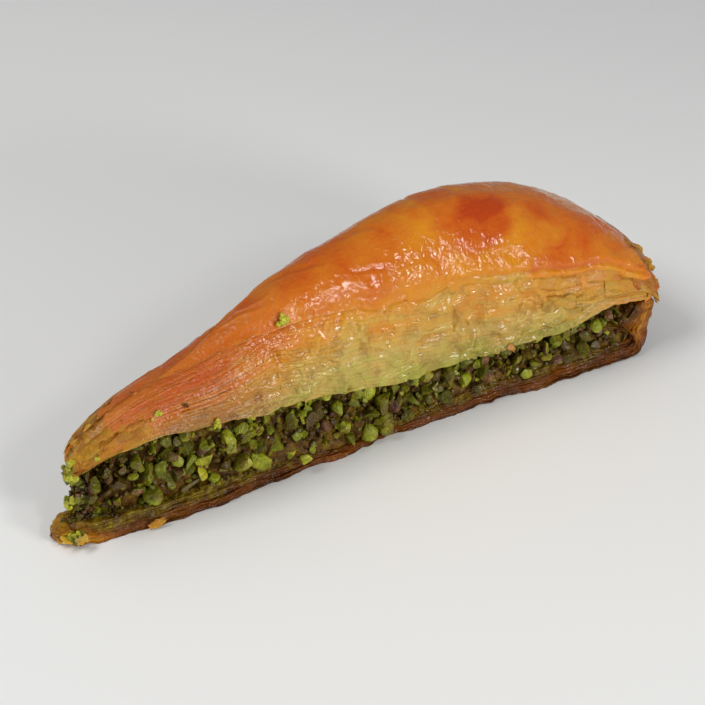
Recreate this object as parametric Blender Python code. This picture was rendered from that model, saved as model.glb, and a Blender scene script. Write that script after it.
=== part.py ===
"""A carrot slice of pistachio baklava, cut as a wedge out of a round tray.

Three pieces lie on each other: the bottom pastry, which turns up at the rim where the tray's
wall was, the chopped pistachio filling, and the domed top pastry that has puffed up over it.

Metres, +Z up. +X runs from the slice's narrow tip to its rim, -Y is the near cut side, and
the origin is under the middle of the slice, on the flat face that it rests on.
"""

import math

import bmesh
import bpy

# Driving dimensions of the slice.
SLICE_LENGTH = 0.165
TRAY_RADIUS = 0.212
RIM_REACH = 0.0225
CREST_HEIGHT = 0.0532
LAYER_GAP = 0.0003

# How far the two cut sides stand from the middle line at the tip. The near cut isn't straight:
# it swings out near the tip and back in past the middle.
NEAR_TIP_REACH = 0.0050
FAR_TIP_REACH = 0.0010
NEAR_SWING = 0.0034
NEAR_SWING_PERIOD = 0.90

# Bottom pastry: a floor that turns up at the rim through a rounded heel.
FLOOR_THICKNESS = 0.0050
FLOOR_DIP = 0.0022
FLOOR_DIP_CENTRE = 0.50
FLOOR_DIP_SPREAD = 0.13
WALL_THICKNESS = 0.0032
HEEL_RADIUS = 0.0085
WALL_TOP = 0.0165
FLOOR_STATIONS = 34
HEEL_STATIONS = 6
WALL_STATIONS = 3
FLOOR_COLUMNS = 8

# Filling: chopped nuts whose lumps stand out of both cut sides. Its sides lean in towards the
# top, and part of the near side has slumped out over the floor's edge.
FILLING_SETBACK = 0.0009
FILLING_LEAN = 0.0016
FILLING_TIP_SETBACK = 0.0065
LUMP_DEPTH = 0.0013
LUMP_LENGTH = 0.0095
SLUMP_REACH = 0.0022
SLUMP_CENTRE = 0.40
SLUMP_SPREAD = 0.08
FILLING_STATIONS = 78
FILLING_ROWS = 5
FILLING_COLUMNS = 6

# Top pastry: a dome over a flat underside. The power squares its shoulders, and it is drawn
# in over a share of the length at its tip and at its rim.
DOME_POWER = 2.3
OVERHANG = 0.0006
TOP_TIP_SETBACK = 0.0048
TIP_ROUNDING = 0.14
TIP_HEIGHT_SHARE = 0.40
TIP_WIDTH_SHARE = 0.26
TIP_LEAN = 0.0015
RIM_ROUNDING = 0.02
RIM_HEIGHT_SHARE = 0.45
RIM_WIDTH_SHARE = 0.85
DOME_STATIONS = 48
DOME_STEPS = 30
UNDERSIDE_STEPS = 8

# Heights of the underside and of the crest, as share of the length from the tip and height.
UNDERSIDE_LINE = [
    (0.00, 0.0165),
    (0.13, 0.0240),
    (0.25, 0.0222),
    (0.42, 0.0190),
    (0.54, 0.0152),
    (0.82, 0.0152),
    (0.90, 0.0186),
    (1.00, 0.0170),
]
CREST_LINE = [
    (0.00, 0.42 * CREST_HEIGHT),
    (0.09, 0.57 * CREST_HEIGHT),
    (0.23, 0.68 * CREST_HEIGHT),
    (0.38, 0.865 * CREST_HEIGHT),
    (0.52, 0.96 * CREST_HEIGHT),
    (0.63, 1.00 * CREST_HEIGHT),
    (0.76, 0.935 * CREST_HEIGHT),
    (0.88, 0.78 * CREST_HEIGHT),
    (1.00, 0.52 * CREST_HEIGHT),
]


def smooth_line(points, place):
    """The value at place of a smooth line through points, which are (place, value) pairs."""
    last = len(points) - 1
    index = 0
    while index < last - 1 and place > points[index + 1][0]:
        index += 1

    def slope(at):
        before = points[max(at - 1, 0)]
        after = points[min(at + 1, last)]
        return (after[1] - before[1]) / (after[0] - before[0])

    start, end = points[index], points[index + 1]
    span = end[0] - start[0]
    share = min(max((place - start[0]) / span, 0.0), 1.0)
    square, cube = share**2, share**3
    return (
        (2 * cube - 3 * square + 1) * start[1]
        + (cube - 2 * square + share) * span * slope(index)
        + (3 * square - 2 * cube) * end[1]
        + (cube - square) * span * slope(index + 1)
    )


def bump(place, centre, spread):
    """A smooth hump: 1 at its centre and almost nothing two spreads away."""
    return math.exp(-(((place - centre) / spread) ** 2))


def share_of_length(x):
    """How far x is along the slice: 0 at the tip, 1 at the rim."""
    return x / SLICE_LENGTH + 0.5


def near_reach(x):
    """Distance from the middle line to the near cut side."""
    share = share_of_length(x)
    swing = math.sin(2 * math.pi * share / NEAR_SWING_PERIOD) * (1 - share)
    return NEAR_TIP_REACH + (RIM_REACH - NEAR_TIP_REACH) * share + NEAR_SWING * swing


def far_reach(x):
    """Distance from the middle line to the far cut side."""
    return FAR_TIP_REACH + (RIM_REACH - FAR_TIP_REACH) * share_of_length(x)


def rim_bow(x, y):
    """How far a point lies behind the rim's middle, because the tray was round."""
    towards_rim = max(share_of_length(x), 0.0) ** 4
    return towards_rim * (TRAY_RADIUS - math.sqrt(TRAY_RADIUS**2 - y**2))


def floor_thickness(x):
    """The soaked floor is pressed thinner past the filling's slump."""
    dip = bump(share_of_length(x), FLOOR_DIP_CENTRE, FLOOR_DIP_SPREAD)
    return FLOOR_THICKNESS - FLOOR_DIP * dip


def finish_solid(mesh, name, colour, roughness):
    """Puts the mesh into the scene as a named, smooth-shaded object with its own material."""
    data = bpy.data.meshes.new(name)
    mesh.to_mesh(data)
    mesh.free()
    data.shade_smooth()
    data.set_sharp_from_angle(angle=math.radians(40))
    material = bpy.data.materials.new(name)
    material.use_nodes = True
    shader = material.node_tree.nodes["Principled BSDF"]
    shader.inputs["Base Color"].default_value = (*colour, 1.0)
    shader.inputs["Roughness"].default_value = roughness
    data.materials.append(material)
    slice_collection.objects.link(bpy.data.objects.new(name, data))


def skin_rings(mesh, rings):
    """Joins equal rings of points into a tube and closes both of its ends.

    Each ring runs up the near side, over to the far side and back underneath.
    """
    loops = [[mesh.verts.new(point) for point in ring] for ring in rings]
    count = len(loops[0])
    for first, second in zip(loops, loops[1:]):
        for k in range(count):
            after = (k + 1) % count
            mesh.faces.new((first[k], second[k], second[after], first[after]))
    mesh.faces.new(loops[0])
    mesh.faces.new(list(reversed(loops[-1])))
    bmesh.ops.triangulate(mesh, faces=[face for face in mesh.faces if len(face.verts) > 4])


def floor_path():
    """The underside of the bottom pastry from tip to wall top, as (x, z, turn) points.

    The turn is the angle that the plate has bent up by: 0 on the floor, a quarter at the wall.
    """
    start = -SLICE_LENGTH / 2
    end = SLICE_LENGTH / 2
    heel_start = end - HEEL_RADIUS
    path = []
    for k in range(FLOOR_STATIONS):
        path.append((start + (heel_start - start) * k / FLOOR_STATIONS, 0.0, 0.0))
    for k in range(HEEL_STATIONS):
        turn = math.pi / 2 * k / HEEL_STATIONS
        x = heel_start + HEEL_RADIUS * math.sin(turn)
        z = HEEL_RADIUS * (1 - math.cos(turn))
        path.append((x, z, turn))
    for k in range(WALL_STATIONS + 1):
        z = HEEL_RADIUS + (WALL_TOP - HEEL_RADIUS) * k / WALL_STATIONS
        path.append((end, z, math.pi / 2))
    return path


def make_bottom_pastry():
    """The soaked floor sheets, turned up at the rim: a plate bent along floor_path."""
    mesh = bmesh.new()
    rings = []
    for x, z, turn in floor_path():
        thickness = floor_thickness(x)
        thickness += (WALL_THICKNESS - thickness) * z / WALL_TOP
        inward, upward = thickness * math.sin(turn), thickness * math.cos(turn)
        outer, inner = [], []
        for k in range(FLOOR_COLUMNS + 1):
            y = -near_reach(x) + (near_reach(x) + far_reach(x)) * k / FLOOR_COLUMNS
            bowed = x - rim_bow(x, y)
            outer.append((bowed, y, z))
            inner.append((bowed - inward, y, z + upward))
        rings.append(inner + outer[::-1])
    skin_rings(mesh, rings)
    finish_solid(mesh, "bottom_pastry", (0.20, 0.060, 0.022), 0.25)


def floor_top(x):
    """Height of the floor's upper face at x, up to the turned-up wall."""
    past_heel = x - (SLICE_LENGTH / 2 - HEEL_RADIUS)
    if past_heel <= 0:
        return floor_thickness(x)
    inner_radius = HEEL_RADIUS - FLOOR_THICKNESS
    return HEEL_RADIUS - math.sqrt(max(inner_radius**2 - past_heel**2, 0.0))


def lump(x, height_share, side):
    """How far the nuts stand out of a cut side, from 0 to LUMP_DEPTH."""
    along = 2 * math.pi * x / LUMP_LENGTH
    waves = math.sin(along + 2.3 * side) * math.cos(0.37 * along + 6.3 * height_share)
    waves += 0.6 * math.sin(1.73 * along + 5.1 * height_share - side)
    middle = max(math.sin(math.pi * height_share), 0.0) ** 0.5
    return LUMP_DEPTH * (0.5 + 0.5 * waves / 1.6) * middle


def make_filling():
    """Chopped pistachio between the two pastries, out to its uneven cut sides."""
    mesh = bmesh.new()
    start = -SLICE_LENGTH / 2 + FILLING_TIP_SETBACK
    end = SLICE_LENGTH / 2 - FLOOR_THICKNESS - LAYER_GAP
    rings = []
    for k in range(FILLING_STATIONS + 1):
        x = start + (end - start) * k / FILLING_STATIONS
        bottom = floor_top(x) + LAYER_GAP
        top = smooth_line(UNDERSIDE_LINE, share_of_length(x)) - LAYER_GAP
        slump = SLUMP_REACH * bump(share_of_length(x), SLUMP_CENTRE, SLUMP_SPREAD)
        near, far = [], []
        for row in range(FILLING_ROWS + 1):
            height_share = row / FILLING_ROWS
            z = bottom + (top - bottom) * height_share
            setback = FILLING_SETBACK + FILLING_LEAN * height_share
            near_out = lump(x, height_share, -1) + slump * (1 - height_share)
            near.append((-near_reach(x) + setback - near_out, z))
            far.append((far_reach(x) - setback + lump(x, height_share, 1), z))
        lid, base = [], []
        for column in range(1, FILLING_COLUMNS):
            share = column / FILLING_COLUMNS
            lid.append((near[-1][0] + (far[-1][0] - near[-1][0]) * share, top))
            base.append((far[0][0] + (near[0][0] - far[0][0]) * share, bottom))
        outline = near + lid + far[::-1] + base
        rings.append([(x - rim_bow(x, y), y, z) for y, z in outline])
    skin_rings(mesh, rings)
    finish_solid(mesh, "pistachio_filling", (0.13, 0.17, 0.03), 0.45)


def closing(distance, rounding):
    """How much of its full size a section has at this distance from a rounded end."""
    return math.sqrt(1 - (1 - min(distance / rounding, 1.0)) ** 2)


def dome_outline(x, from_tip, from_rim):
    """One section of the top pastry: over the dome, then back along its flat underside."""
    tip_size = closing(from_tip, TIP_ROUNDING)
    rim_size = closing(from_rim, RIM_ROUNDING)
    height_share = TIP_HEIGHT_SHARE + (1 - TIP_HEIGHT_SHARE) * tip_size
    height_share *= RIM_HEIGHT_SHARE + (1 - RIM_HEIGHT_SHARE) * rim_size
    width_share = TIP_WIDTH_SHARE + (1 - TIP_WIDTH_SHARE) * tip_size
    width_share *= RIM_WIDTH_SHARE + (1 - RIM_WIDTH_SHARE) * rim_size

    share = share_of_length(x)
    underside = smooth_line(UNDERSIDE_LINE, share)
    height = (smooth_line(CREST_LINE, share) - underside) * height_share
    reach = ((near_reach(x) + far_reach(x)) / 2 + OVERHANG) * width_share
    middle = (far_reach(x) - near_reach(x)) / 2 - TIP_LEAN * (1 - tip_size)

    outline = []
    for k in range(DOME_STEPS + 1):
        turn = math.pi * k / DOME_STEPS
        across = math.copysign(abs(math.cos(turn)) ** (2 / DOME_POWER), math.cos(turn))
        up = abs(math.sin(turn)) ** (2 / DOME_POWER)
        outline.append((middle - reach * across, underside + height * up))
    for k in range(1, UNDERSIDE_STEPS):
        across = 2 * k / UNDERSIDE_STEPS - 1
        outline.append((middle - reach * across, underside))
    return outline


def make_top_pastry():
    """The puffed stack of sheets: dome sections along the slice, drawn in at both ends."""
    mesh = bmesh.new()
    start = -SLICE_LENGTH / 2 + TOP_TIP_SETBACK
    end = SLICE_LENGTH / 2
    rings = []
    for k in range(DOME_STATIONS + 1):
        # Stations crowd together towards both ends, where the form turns in.
        share = 0.5 - 0.5 * math.cos(math.pi * k / DOME_STATIONS)
        x = start + (end - start) * share
        outline = dome_outline(x, share, 1 - share)
        rings.append([(x - rim_bow(x, y), y, z) for y, z in outline])
    skin_rings(mesh, rings)
    finish_solid(mesh, "top_pastry", (0.72, 0.30, 0.07), 0.3)


for leftover in list(bpy.data.objects):
    bpy.data.objects.remove(leftover, do_unlink=True)
slice_collection = bpy.data.collections.new("baklava_slice")
bpy.context.scene.collection.children.link(slice_collection)

make_bottom_pastry()
make_filling()
make_top_pastry()
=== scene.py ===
import math

import bmesh
import bpy
import numpy as np
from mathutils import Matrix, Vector
from mathutils.bvhtree import BVHTree


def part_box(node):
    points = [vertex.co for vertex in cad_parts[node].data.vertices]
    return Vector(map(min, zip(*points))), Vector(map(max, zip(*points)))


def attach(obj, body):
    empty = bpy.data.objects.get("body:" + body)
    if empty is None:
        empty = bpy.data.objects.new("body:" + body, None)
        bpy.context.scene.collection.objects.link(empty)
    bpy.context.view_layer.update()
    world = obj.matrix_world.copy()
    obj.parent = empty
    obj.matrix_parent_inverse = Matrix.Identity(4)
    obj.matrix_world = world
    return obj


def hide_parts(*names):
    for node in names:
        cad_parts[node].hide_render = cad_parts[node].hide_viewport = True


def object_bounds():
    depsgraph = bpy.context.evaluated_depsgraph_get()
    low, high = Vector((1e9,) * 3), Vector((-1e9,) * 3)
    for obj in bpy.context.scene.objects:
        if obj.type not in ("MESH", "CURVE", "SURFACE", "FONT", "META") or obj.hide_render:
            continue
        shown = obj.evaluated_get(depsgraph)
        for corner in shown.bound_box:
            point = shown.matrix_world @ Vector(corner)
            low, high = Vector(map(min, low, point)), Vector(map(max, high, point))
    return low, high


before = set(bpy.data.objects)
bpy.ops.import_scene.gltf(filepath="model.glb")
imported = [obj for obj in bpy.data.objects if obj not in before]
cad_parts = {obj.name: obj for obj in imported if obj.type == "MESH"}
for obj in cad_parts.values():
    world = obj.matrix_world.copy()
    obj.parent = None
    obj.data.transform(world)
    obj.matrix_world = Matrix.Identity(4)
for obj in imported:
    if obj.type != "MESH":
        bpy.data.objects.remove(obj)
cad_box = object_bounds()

MM = 0.001

# ---- The table, the light and the camera -----------------------------------------------------
# The slice lies on a plain pale table in a bright studio. A large soft light stands behind and
# above it, and a smaller one beside the camera makes the syrup sparkle.

TABLE_HALF = 1.6
VIEW_TURN = math.radians(-35.1)
VIEW_RISE = math.radians(34.0)
VIEW_DISTANCE = 0.45
VIEW_TARGET = Vector((0.0170, 0.0217, 0.0))
LENS = 88.1


def stand_back(turn, rise):
    """The direction from the slice towards something that stands at this turn and rise."""
    level = math.cos(rise)
    return Vector((math.sin(turn) * level, -math.cos(turn) * level, math.sin(rise)))


def soft_light(name, turn, rise, distance, size, power, colour):
    """A soft box, size across and up, that faces the middle of the slice."""
    data = bpy.data.lights.new(name, "AREA")
    data.shape = "RECTANGLE"
    data.size, data.size_y = size
    data.energy = power
    data.color = colour
    lamp = bpy.data.objects.new(name, data)
    bpy.context.scene.collection.objects.link(lamp)
    towards = stand_back(math.radians(turn), math.radians(rise))
    lamp.location = Vector((0, 0, 20 * MM)) + towards * distance
    lamp.rotation_euler = towards.to_track_quat("Z", "Y").to_euler()
    return lamp


soft_light("key_box", turn=4, rise=38, distance=0.8, size=(0.14, 0.11), power=1.0, colour=(1.0, 0.99, 0.97))
soft_light("low_box", turn=14, rise=16, distance=0.8, size=(0.24, 0.09), power=2.7, colour=(1.0, 1.0, 0.98))
soft_light("floor_box", turn=18, rise=4, distance=0.8, size=(0.24, 0.05), power=1.0, colour=(1.0, 1.0, 0.98))
soft_light("side_box", turn=-100, rise=50, distance=0.8, size=(0.35, 0.35), power=2.9, colour=(1.0, 0.98, 0.95))
soft_light("back_box", turn=-150, rise=60, distance=0.9, size=(0.60, 0.60), power=0.8, colour=(1.0, 0.99, 0.97))

bpy.data.objects["back_box"].visible_glossy = False
world = bpy.data.worlds.new("studio")
bpy.context.scene.world = world
world.use_nodes = True
world.node_tree.nodes["Background"].inputs["Color"].default_value = (0.93, 0.97, 1.0, 1.0)
world.node_tree.nodes["Background"].inputs["Strength"].default_value = 0.24
bpy.context.scene.view_settings.view_transform = "Standard"

table_mesh = bpy.data.meshes.new("table")
sketch = bmesh.new()
bmesh.ops.create_grid(sketch, x_segments=2, y_segments=2, size=TABLE_HALF)
sketch.to_mesh(table_mesh)
sketch.free()
table = bpy.data.objects.new("table", table_mesh)
bpy.context.scene.collection.objects.link(table)
table_finish = bpy.data.materials.new("pale_table")
table_finish.use_nodes = True
table_shader = table_finish.node_tree.nodes["Principled BSDF"]
table_shader.inputs["Base Color"].default_value = (0.88, 0.88, 0.875, 1.0)
table_shader.inputs["Roughness"].default_value = 0.6
table_mesh.materials.append(table_finish)

camera_data = bpy.data.cameras.new("camera")
camera_data.lens = LENS
camera_data.sensor_width = 36.0
camera_data.clip_start = 0.01
camera = bpy.data.objects.new("camera", camera_data)
bpy.context.scene.collection.objects.link(camera)
look = stand_back(VIEW_TURN, VIEW_RISE)
camera.location = VIEW_TARGET + look * VIEW_DISTANCE
camera.rotation_euler = look.to_track_quat("Z", "Y").to_euler()
bpy.context.scene.camera = camera

# ---- The soaked bottom pastry ----------------------------------------------------------------
# Some eight sheets of filo, pressed thin, fried in butter and soaked dark with syrup. They lie
# on the tray's floor and turn up its wall at the rim, so at the cut their edges show as lines.


def outline_tree(node):
    """A search tree over a solid of the frame, for finding its surface from inside."""
    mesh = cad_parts[node].data
    return BVHTree.FromPolygons([v.co for v in mesh.vertices], [p.vertices for p in mesh.polygons])


def find_surface(tree, start, direction, otherwise):
    """Where a line from start meets the solid, or otherwise if it never does."""
    hit = tree.ray_cast(Vector(start), Vector(direction))[0]
    return np.array(hit) if hit else np.array(otherwise, float)


def lumps(place, size, seed):
    """Smooth noise from -1 to 1 with lumps about size across, at an array of places."""
    place = np.asarray(place, float) / size
    corner = np.floor(place).astype(np.int64)
    share = place - corner
    share = share * share * (3 - 2 * share)
    total = 0.0
    for dx in (0, 1):
        for dy in (0, 1):
            for dz in (0, 1):
                x, y, z = corner[..., 0] + dx, corner[..., 1] + dy, corner[..., 2] + dz
                mixed = (x * 73856093) ^ (y * 19349663) ^ (z * 83492791) ^ (seed * 2654435761)
                mixed = (mixed ^ (mixed >> 13)) * 1274126177
                value = ((mixed ^ (mixed >> 16)) & 0xFFFF) / 32767.5 - 1.0
                weight = (
                    (share[..., 0] if dx else 1 - share[..., 0])
                    * (share[..., 1] if dy else 1 - share[..., 1])
                    * (share[..., 2] if dz else 1 - share[..., 2])
                )
                total = total + value * weight
    return total


def layered(place, size, seed, steps=3):
    """Lumps with finer lumps on them, each step half the size and half the height."""
    return sum(lumps(place, size / 2**k, seed + 7 * k) / 2**k for k in range(steps)) / 1.6


def soften(values, reach, axis):
    """Evens out an array along one axis over reach neighbours each way."""
    kernel = np.hanning(2 * reach + 3)[1:-1]
    kernel /= kernel.sum()
    padding = [(0, 0)] * values.ndim
    padding[axis] = (reach, reach)
    padded = np.pad(values, padding, mode="edge")
    return np.apply_along_axis(lambda line: np.convolve(line, kernel, mode="valid"), axis, padded)


def fade(value, start, end):
    """0 before start, 1 after end, and smooth between them. Start may be the larger."""
    share = np.clip((value - start) / (end - start), 0, 1)
    return share * share * (3 - 2 * share)


def lay_grid(name, grids, closed=False):
    """A mesh from grids, each rows of places and their named marks (one number or three).

    Each grid has its own cell of the UV map, which runs along the columns and up the rows.
    """
    cells = math.ceil(math.sqrt(len(grids)))
    points, faces, maps, values = [], [], [], {mark: [] for mark in grids[0][1]}
    total = 0
    for number, (places, marks) in enumerate(grids):
        rows, columns = places.shape[:2]
        index = np.arange(rows * columns).reshape(rows, columns) + total
        total += rows * columns
        if closed:
            index = np.vstack([index, index[:1]])
        corners = np.stack([index[:-1, :-1], index[:-1, 1:], index[1:, 1:], index[1:, :-1]], axis=-1)
        across, up = np.meshgrid(np.linspace(0, 1, columns), np.linspace(0, 1, len(index)))
        flat = np.stack([across + number % cells, up + number // cells], axis=-1) / cells
        flat = np.stack([flat[:-1, :-1], flat[:-1, 1:], flat[1:, 1:], flat[1:, :-1]], axis=2)
        points.append(places.reshape(-1, 3))
        faces.append(corners.reshape(-1, 4))
        maps.append(flat.ravel())
        for mark, numbers in marks.items():
            values[mark].append(numbers.reshape(rows * columns, -1))
    mesh = bpy.data.meshes.new(name)
    mesh.from_pydata(np.vstack(points).tolist(), [], np.vstack(faces).tolist())
    mesh.uv_layers.new(name="OFBake").data.foreach_set("uv", np.concatenate(maps))
    for mark, numbers in values.items():
        numbers = np.vstack(numbers).astype(np.float32)
        kind = "FLOAT" if numbers.shape[1] == 1 else "FLOAT_VECTOR"
        slot = mesh.attributes.new(mark, kind, "POINT")
        slot.data.foreach_set("value" if kind == "FLOAT" else "vector", numbers.ravel())
    mesh.shade_smooth()
    piece = bpy.data.objects.new(name, mesh)
    bpy.context.scene.collection.objects.link(piece)
    return piece


def add_node(tree, kind, **settings):
    """Adds a shader node. Settings that name a socket go to it, and the rest to the node."""
    node = tree.nodes.new(kind)
    for key, value in settings.items():
        socket = key.replace("_", " ").title()
        if socket in node.inputs and not hasattr(node, key):
            node.inputs[socket].default_value = value
        else:
            setattr(node, key, value)
    return node


def new_finish(name, roughness, specular=0.5, scatter=0.0, scatter_depth=0.0, coat=0.0):
    """A material whose steady values sit on its shader. Returns it, its tree and the shader."""
    material = bpy.data.materials.new(name)
    material.use_nodes = True
    tree = material.node_tree
    shader = tree.nodes["Principled BSDF"]
    shader.inputs["Roughness"].default_value = roughness
    shader.inputs["Specular IOR Level"].default_value = specular
    shader.inputs["Subsurface Weight"].default_value = scatter
    shader.inputs["Subsurface Radius"].default_value = (1.0, 0.45, 0.18)
    shader.inputs["Subsurface Scale"].default_value = scatter_depth
    shader.inputs["Coat Weight"].default_value = coat
    shader.inputs["Coat Roughness"].default_value = 0.06
    return material, tree, shader


def colour_ramp(tree, stops):
    """A colour ramp through (place, colour) stops."""
    ramp = tree.nodes.new("ShaderNodeValToRGB")
    while len(ramp.color_ramp.elements) < len(stops):
        ramp.color_ramp.elements.new(1.0)
    for element, (place, colour) in zip(ramp.color_ramp.elements, stops):
        element.position = place
        element.color = (*colour, 1.0)
    return ramp


# Wet film: syrup lies thick in some places and thin in others, so the gloss is patchy and the
# surface is finely wrinkled.
wet_film = bpy.data.node_groups.new("wet_film", "ShaderNodeTree")
for socket, kind, default in (
    ("Place", "NodeSocketVector", None),
    ("Patch Scale", "NodeSocketFloat", 250.0),
    ("Wrinkle Scale", "NodeSocketFloat", 900.0),
    ("Driest", "NodeSocketFloat", 0.45),
    ("Wettest", "NodeSocketFloat", 0.12),
):
    made = wet_film.interface.new_socket(socket, in_out="INPUT", socket_type=kind)
    if default is not None:
        made.default_value = default
wet_film.interface.new_socket("Roughness", in_out="OUTPUT", socket_type="NodeSocketFloat")
wet_film.interface.new_socket("Height", in_out="OUTPUT", socket_type="NodeSocketFloat")
film_in = wet_film.nodes.new("NodeGroupInput")
film_out = wet_film.nodes.new("NodeGroupOutput")
patches = add_node(wet_film, "ShaderNodeTexNoise", detail=3.0)
gloss = add_node(wet_film, "ShaderNodeMapRange")
gloss.inputs["From Min"].default_value = 0.38
gloss.inputs["From Max"].default_value = 0.62
wrinkles = add_node(wet_film, "ShaderNodeTexNoise", detail=1.5, roughness=0.5, distortion=0.8)
wet_film.links.new(film_in.outputs["Place"], patches.inputs["Vector"])
wet_film.links.new(film_in.outputs["Patch Scale"], patches.inputs["Scale"])
wet_film.links.new(patches.outputs["Fac"], gloss.inputs["Value"])
wet_film.links.new(film_in.outputs["Driest"], gloss.inputs["To Min"])
wet_film.links.new(film_in.outputs["Wettest"], gloss.inputs["To Max"])
wet_film.links.new(film_in.outputs["Place"], wrinkles.inputs["Vector"])
wet_film.links.new(film_in.outputs["Wrinkle Scale"], wrinkles.inputs["Scale"])
wet_film.links.new(gloss.outputs["Result"], film_out.inputs["Roughness"])
wet_film.links.new(wrinkles.outputs["Fac"], film_out.inputs["Height"])


def use_film(tree, shader, patch, wrinkle, driest, wettest, depth, place=None):
    """Gives a material the wet film's gloss and wrinkles. Returns the film and its bump."""
    film = tree.nodes.new("ShaderNodeGroup")
    film.node_tree = wet_film
    film.inputs["Patch Scale"].default_value = patch
    film.inputs["Wrinkle Scale"].default_value = wrinkle
    film.inputs["Driest"].default_value = driest
    film.inputs["Wettest"].default_value = wettest
    bump = tree.nodes.new("ShaderNodeBump")
    bump.inputs["Distance"].default_value = depth
    if place is None:
        place = tree.nodes.new("ShaderNodeTexCoord").outputs["Object"]
    tree.links.new(place, film.inputs["Place"])
    tree.links.new(film.outputs["Roughness"], shader.inputs["Roughness"])
    tree.links.new(film.outputs["Height"], bump.inputs["Height"])
    tree.links.new(bump.outputs["Normal"], shader.inputs["Normal"])
    return film, bump


CRUST_COLUMNS = 520
CRUST_SHEETS = 7
CRUST_SHEET_DEPTH = 0.70 * MM
CRUST_BEVEL = 2.2 * MM
HEEL_RADIUS = 8.5 * MM
TRAY_RADIUS = 212.0 * MM

crust_tree = outline_tree("bottom_pastry")
crust_low, crust_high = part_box("bottom_pastry")
floor_end = crust_high.x - HEEL_RADIUS
wall_height = crust_high.z
floor_run = floor_end - crust_low.x
heel_run = HEEL_RADIUS * math.pi / 2
whole_run = floor_run + heel_run + wall_height - HEEL_RADIUS


def crust_path(run):
    """Where the underside is after this much run from the tip: x, z and how far it turned up."""
    if run < floor_run:
        return crust_low.x + run, 0.0, 0.0
    if run < floor_run + heel_run:
        turn = (run - floor_run) / HEEL_RADIUS
        return floor_end + HEEL_RADIUS * math.sin(turn), HEEL_RADIUS * (1 - math.cos(turn)), turn
    return crust_high.x, HEEL_RADIUS + run - floor_run - heel_run, math.pi / 2


def crust_side(x, z, turn, side):
    """Where the cut side is for a place inside the plate, found with a line along Y."""
    inside = (x - 1.0 * MM * math.sin(turn), 0.0, z + 1.0 * MM * math.cos(turn))
    edge = side * 20 * MM
    return find_surface(crust_tree, inside, (0, side, 0), (x, edge, z))[1]


runs = np.linspace(0.4 * MM, whole_run - 0.2 * MM, CRUST_COLUMNS)
spine = np.array([crust_path(run) for run in runs])
near_edge = soften(np.array([crust_side(*point, -1) for point in spine]), 9, 0)
far_edge = soften(np.array([crust_side(*point, 1) for point in spine]), 9, 0)
thickness = []
for (x, z, turn), y in zip(spine, (near_edge + far_edge) / 2):
    up = (-math.sin(turn), 0.0, math.cos(turn))
    start = (x + up[0] * 0.5 * MM, y, z + up[2] * 0.5 * MM)
    top = find_surface(crust_tree, start, up, (x, y, z))
    thickness.append(min(np.linalg.norm(top - np.array((x, y, z))), 5.0 * MM))
thickness = soften(np.array(thickness), 9, 0)
wall_share = np.interp(spine[:, 1], (1 * MM, 5 * MM, 9 * MM, wall_height), (0, 3.0, 2.4, 1.0))
thickness = thickness * (1 + wall_share)
thickness = thickness * (1 + 0.12 * layered(np.stack([runs, runs * 0, runs * 0], -1), 7 * MM, 53))


def crust_ring():
    """Shares across (-1 near to 1 far) and up (0 to 1), with a step out at each sheet."""
    across, up, out = [], [], []
    for side in (-1, 1):
        flank = []
        for sheet in range(CRUST_SHEETS):
            low, high = sheet / CRUST_SHEETS, (sheet + 1) / CRUST_SHEETS
            for share, step in ((0.0, 0.0), (0.12, 1.0), (0.5, 0.9), (0.88, 0.45)):
                flank.append((side, low + (high - low) * share, step, sheet + 1))
        if side > 0:
            flank.reverse()
        for entry in flank:
            across.append(entry[0])
            up.append(entry[1])
            out.append(entry[2:])
        face = np.linspace(-side * -1, side * -1, 26)[1:-1]
        for share in face:
            across.append(share)
            up.append(1.0 if side < 0 else 0.0)
            out.append((0.0, 0))
    return np.array(across), np.array(up), np.array(out)


ring_across, ring_up, ring_out = crust_ring()
half = (far_edge - near_edge) / 2
middle = (far_edge + near_edge) / 2
places = np.zeros((len(ring_across), CRUST_COLUMNS, 3))
marks_stack = np.zeros(places.shape[:2])
marks_gap = np.zeros(places.shape[:2])
for row, (across, up, (step, sheet)) in enumerate(zip(ring_across, ring_up, ring_out)):
    waver = lumps(np.stack([runs, runs * 0, runs * 0 + sheet * 9 * MM], -1), 7 * MM, 31)
    poke = lumps(np.stack([runs, runs * 0 + sheet * 3 * MM, runs * 0], -1), 2.6 * MM, 47)
    out = CRUST_SHEET_DEPTH * step * np.clip(0.45 + 0.55 * waver + 0.45 * poke, 0.02, 1.4)
    sag = 1.3 * MM * layered(np.stack([runs, runs * 0 + up * 3.5 * MM, runs * 0 + across], -1), 10 * MM, 52, 4)
    bevel = CRUST_BEVEL * (1.0 + 0.5 * layered(np.stack([runs, runs * 0, runs * 0 + across], -1), 8 * MM, 57, 3))
    bevel = np.minimum(bevel * (1 - 0.85 * fade(spine[:, 1], 1 * MM, 7 * MM)), 0.35 * half) * up**1.5
    y = middle + (half - bevel) * across + math.copysign(1.0, across) * (out + sag) * (sheet > 0)
    rise = np.clip(up + 0.09 * waver * (0 < up < 1), 0, 1) * thickness
    x = spine[:, 0] - np.sin(spine[:, 2]) * rise
    z = spine[:, 1] + np.cos(spine[:, 2]) * rise
    bow = np.clip((x - crust_low.x) / (2 * crust_high.x), 0, 1) ** 4 * (TRAY_RADIUS - np.sqrt(TRAY_RADIUS**2 - y**2))
    places[row] = np.stack([x - bow, y, z], -1)
    marks_stack[row] = up
    marks_gap[row] = (1 - step) * (sheet > 0)
outward = np.zeros_like(places)
outward[..., 2] = np.where(ring_up[:, None] > 0.5, 1.0, -1.0) * (np.abs(ring_across)[:, None] < 1)
relief = (layered(places, 5 * MM, 5) * 0.65 + layered(places, 1.9 * MM, 6, 2) * 0.60) * MM
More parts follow.
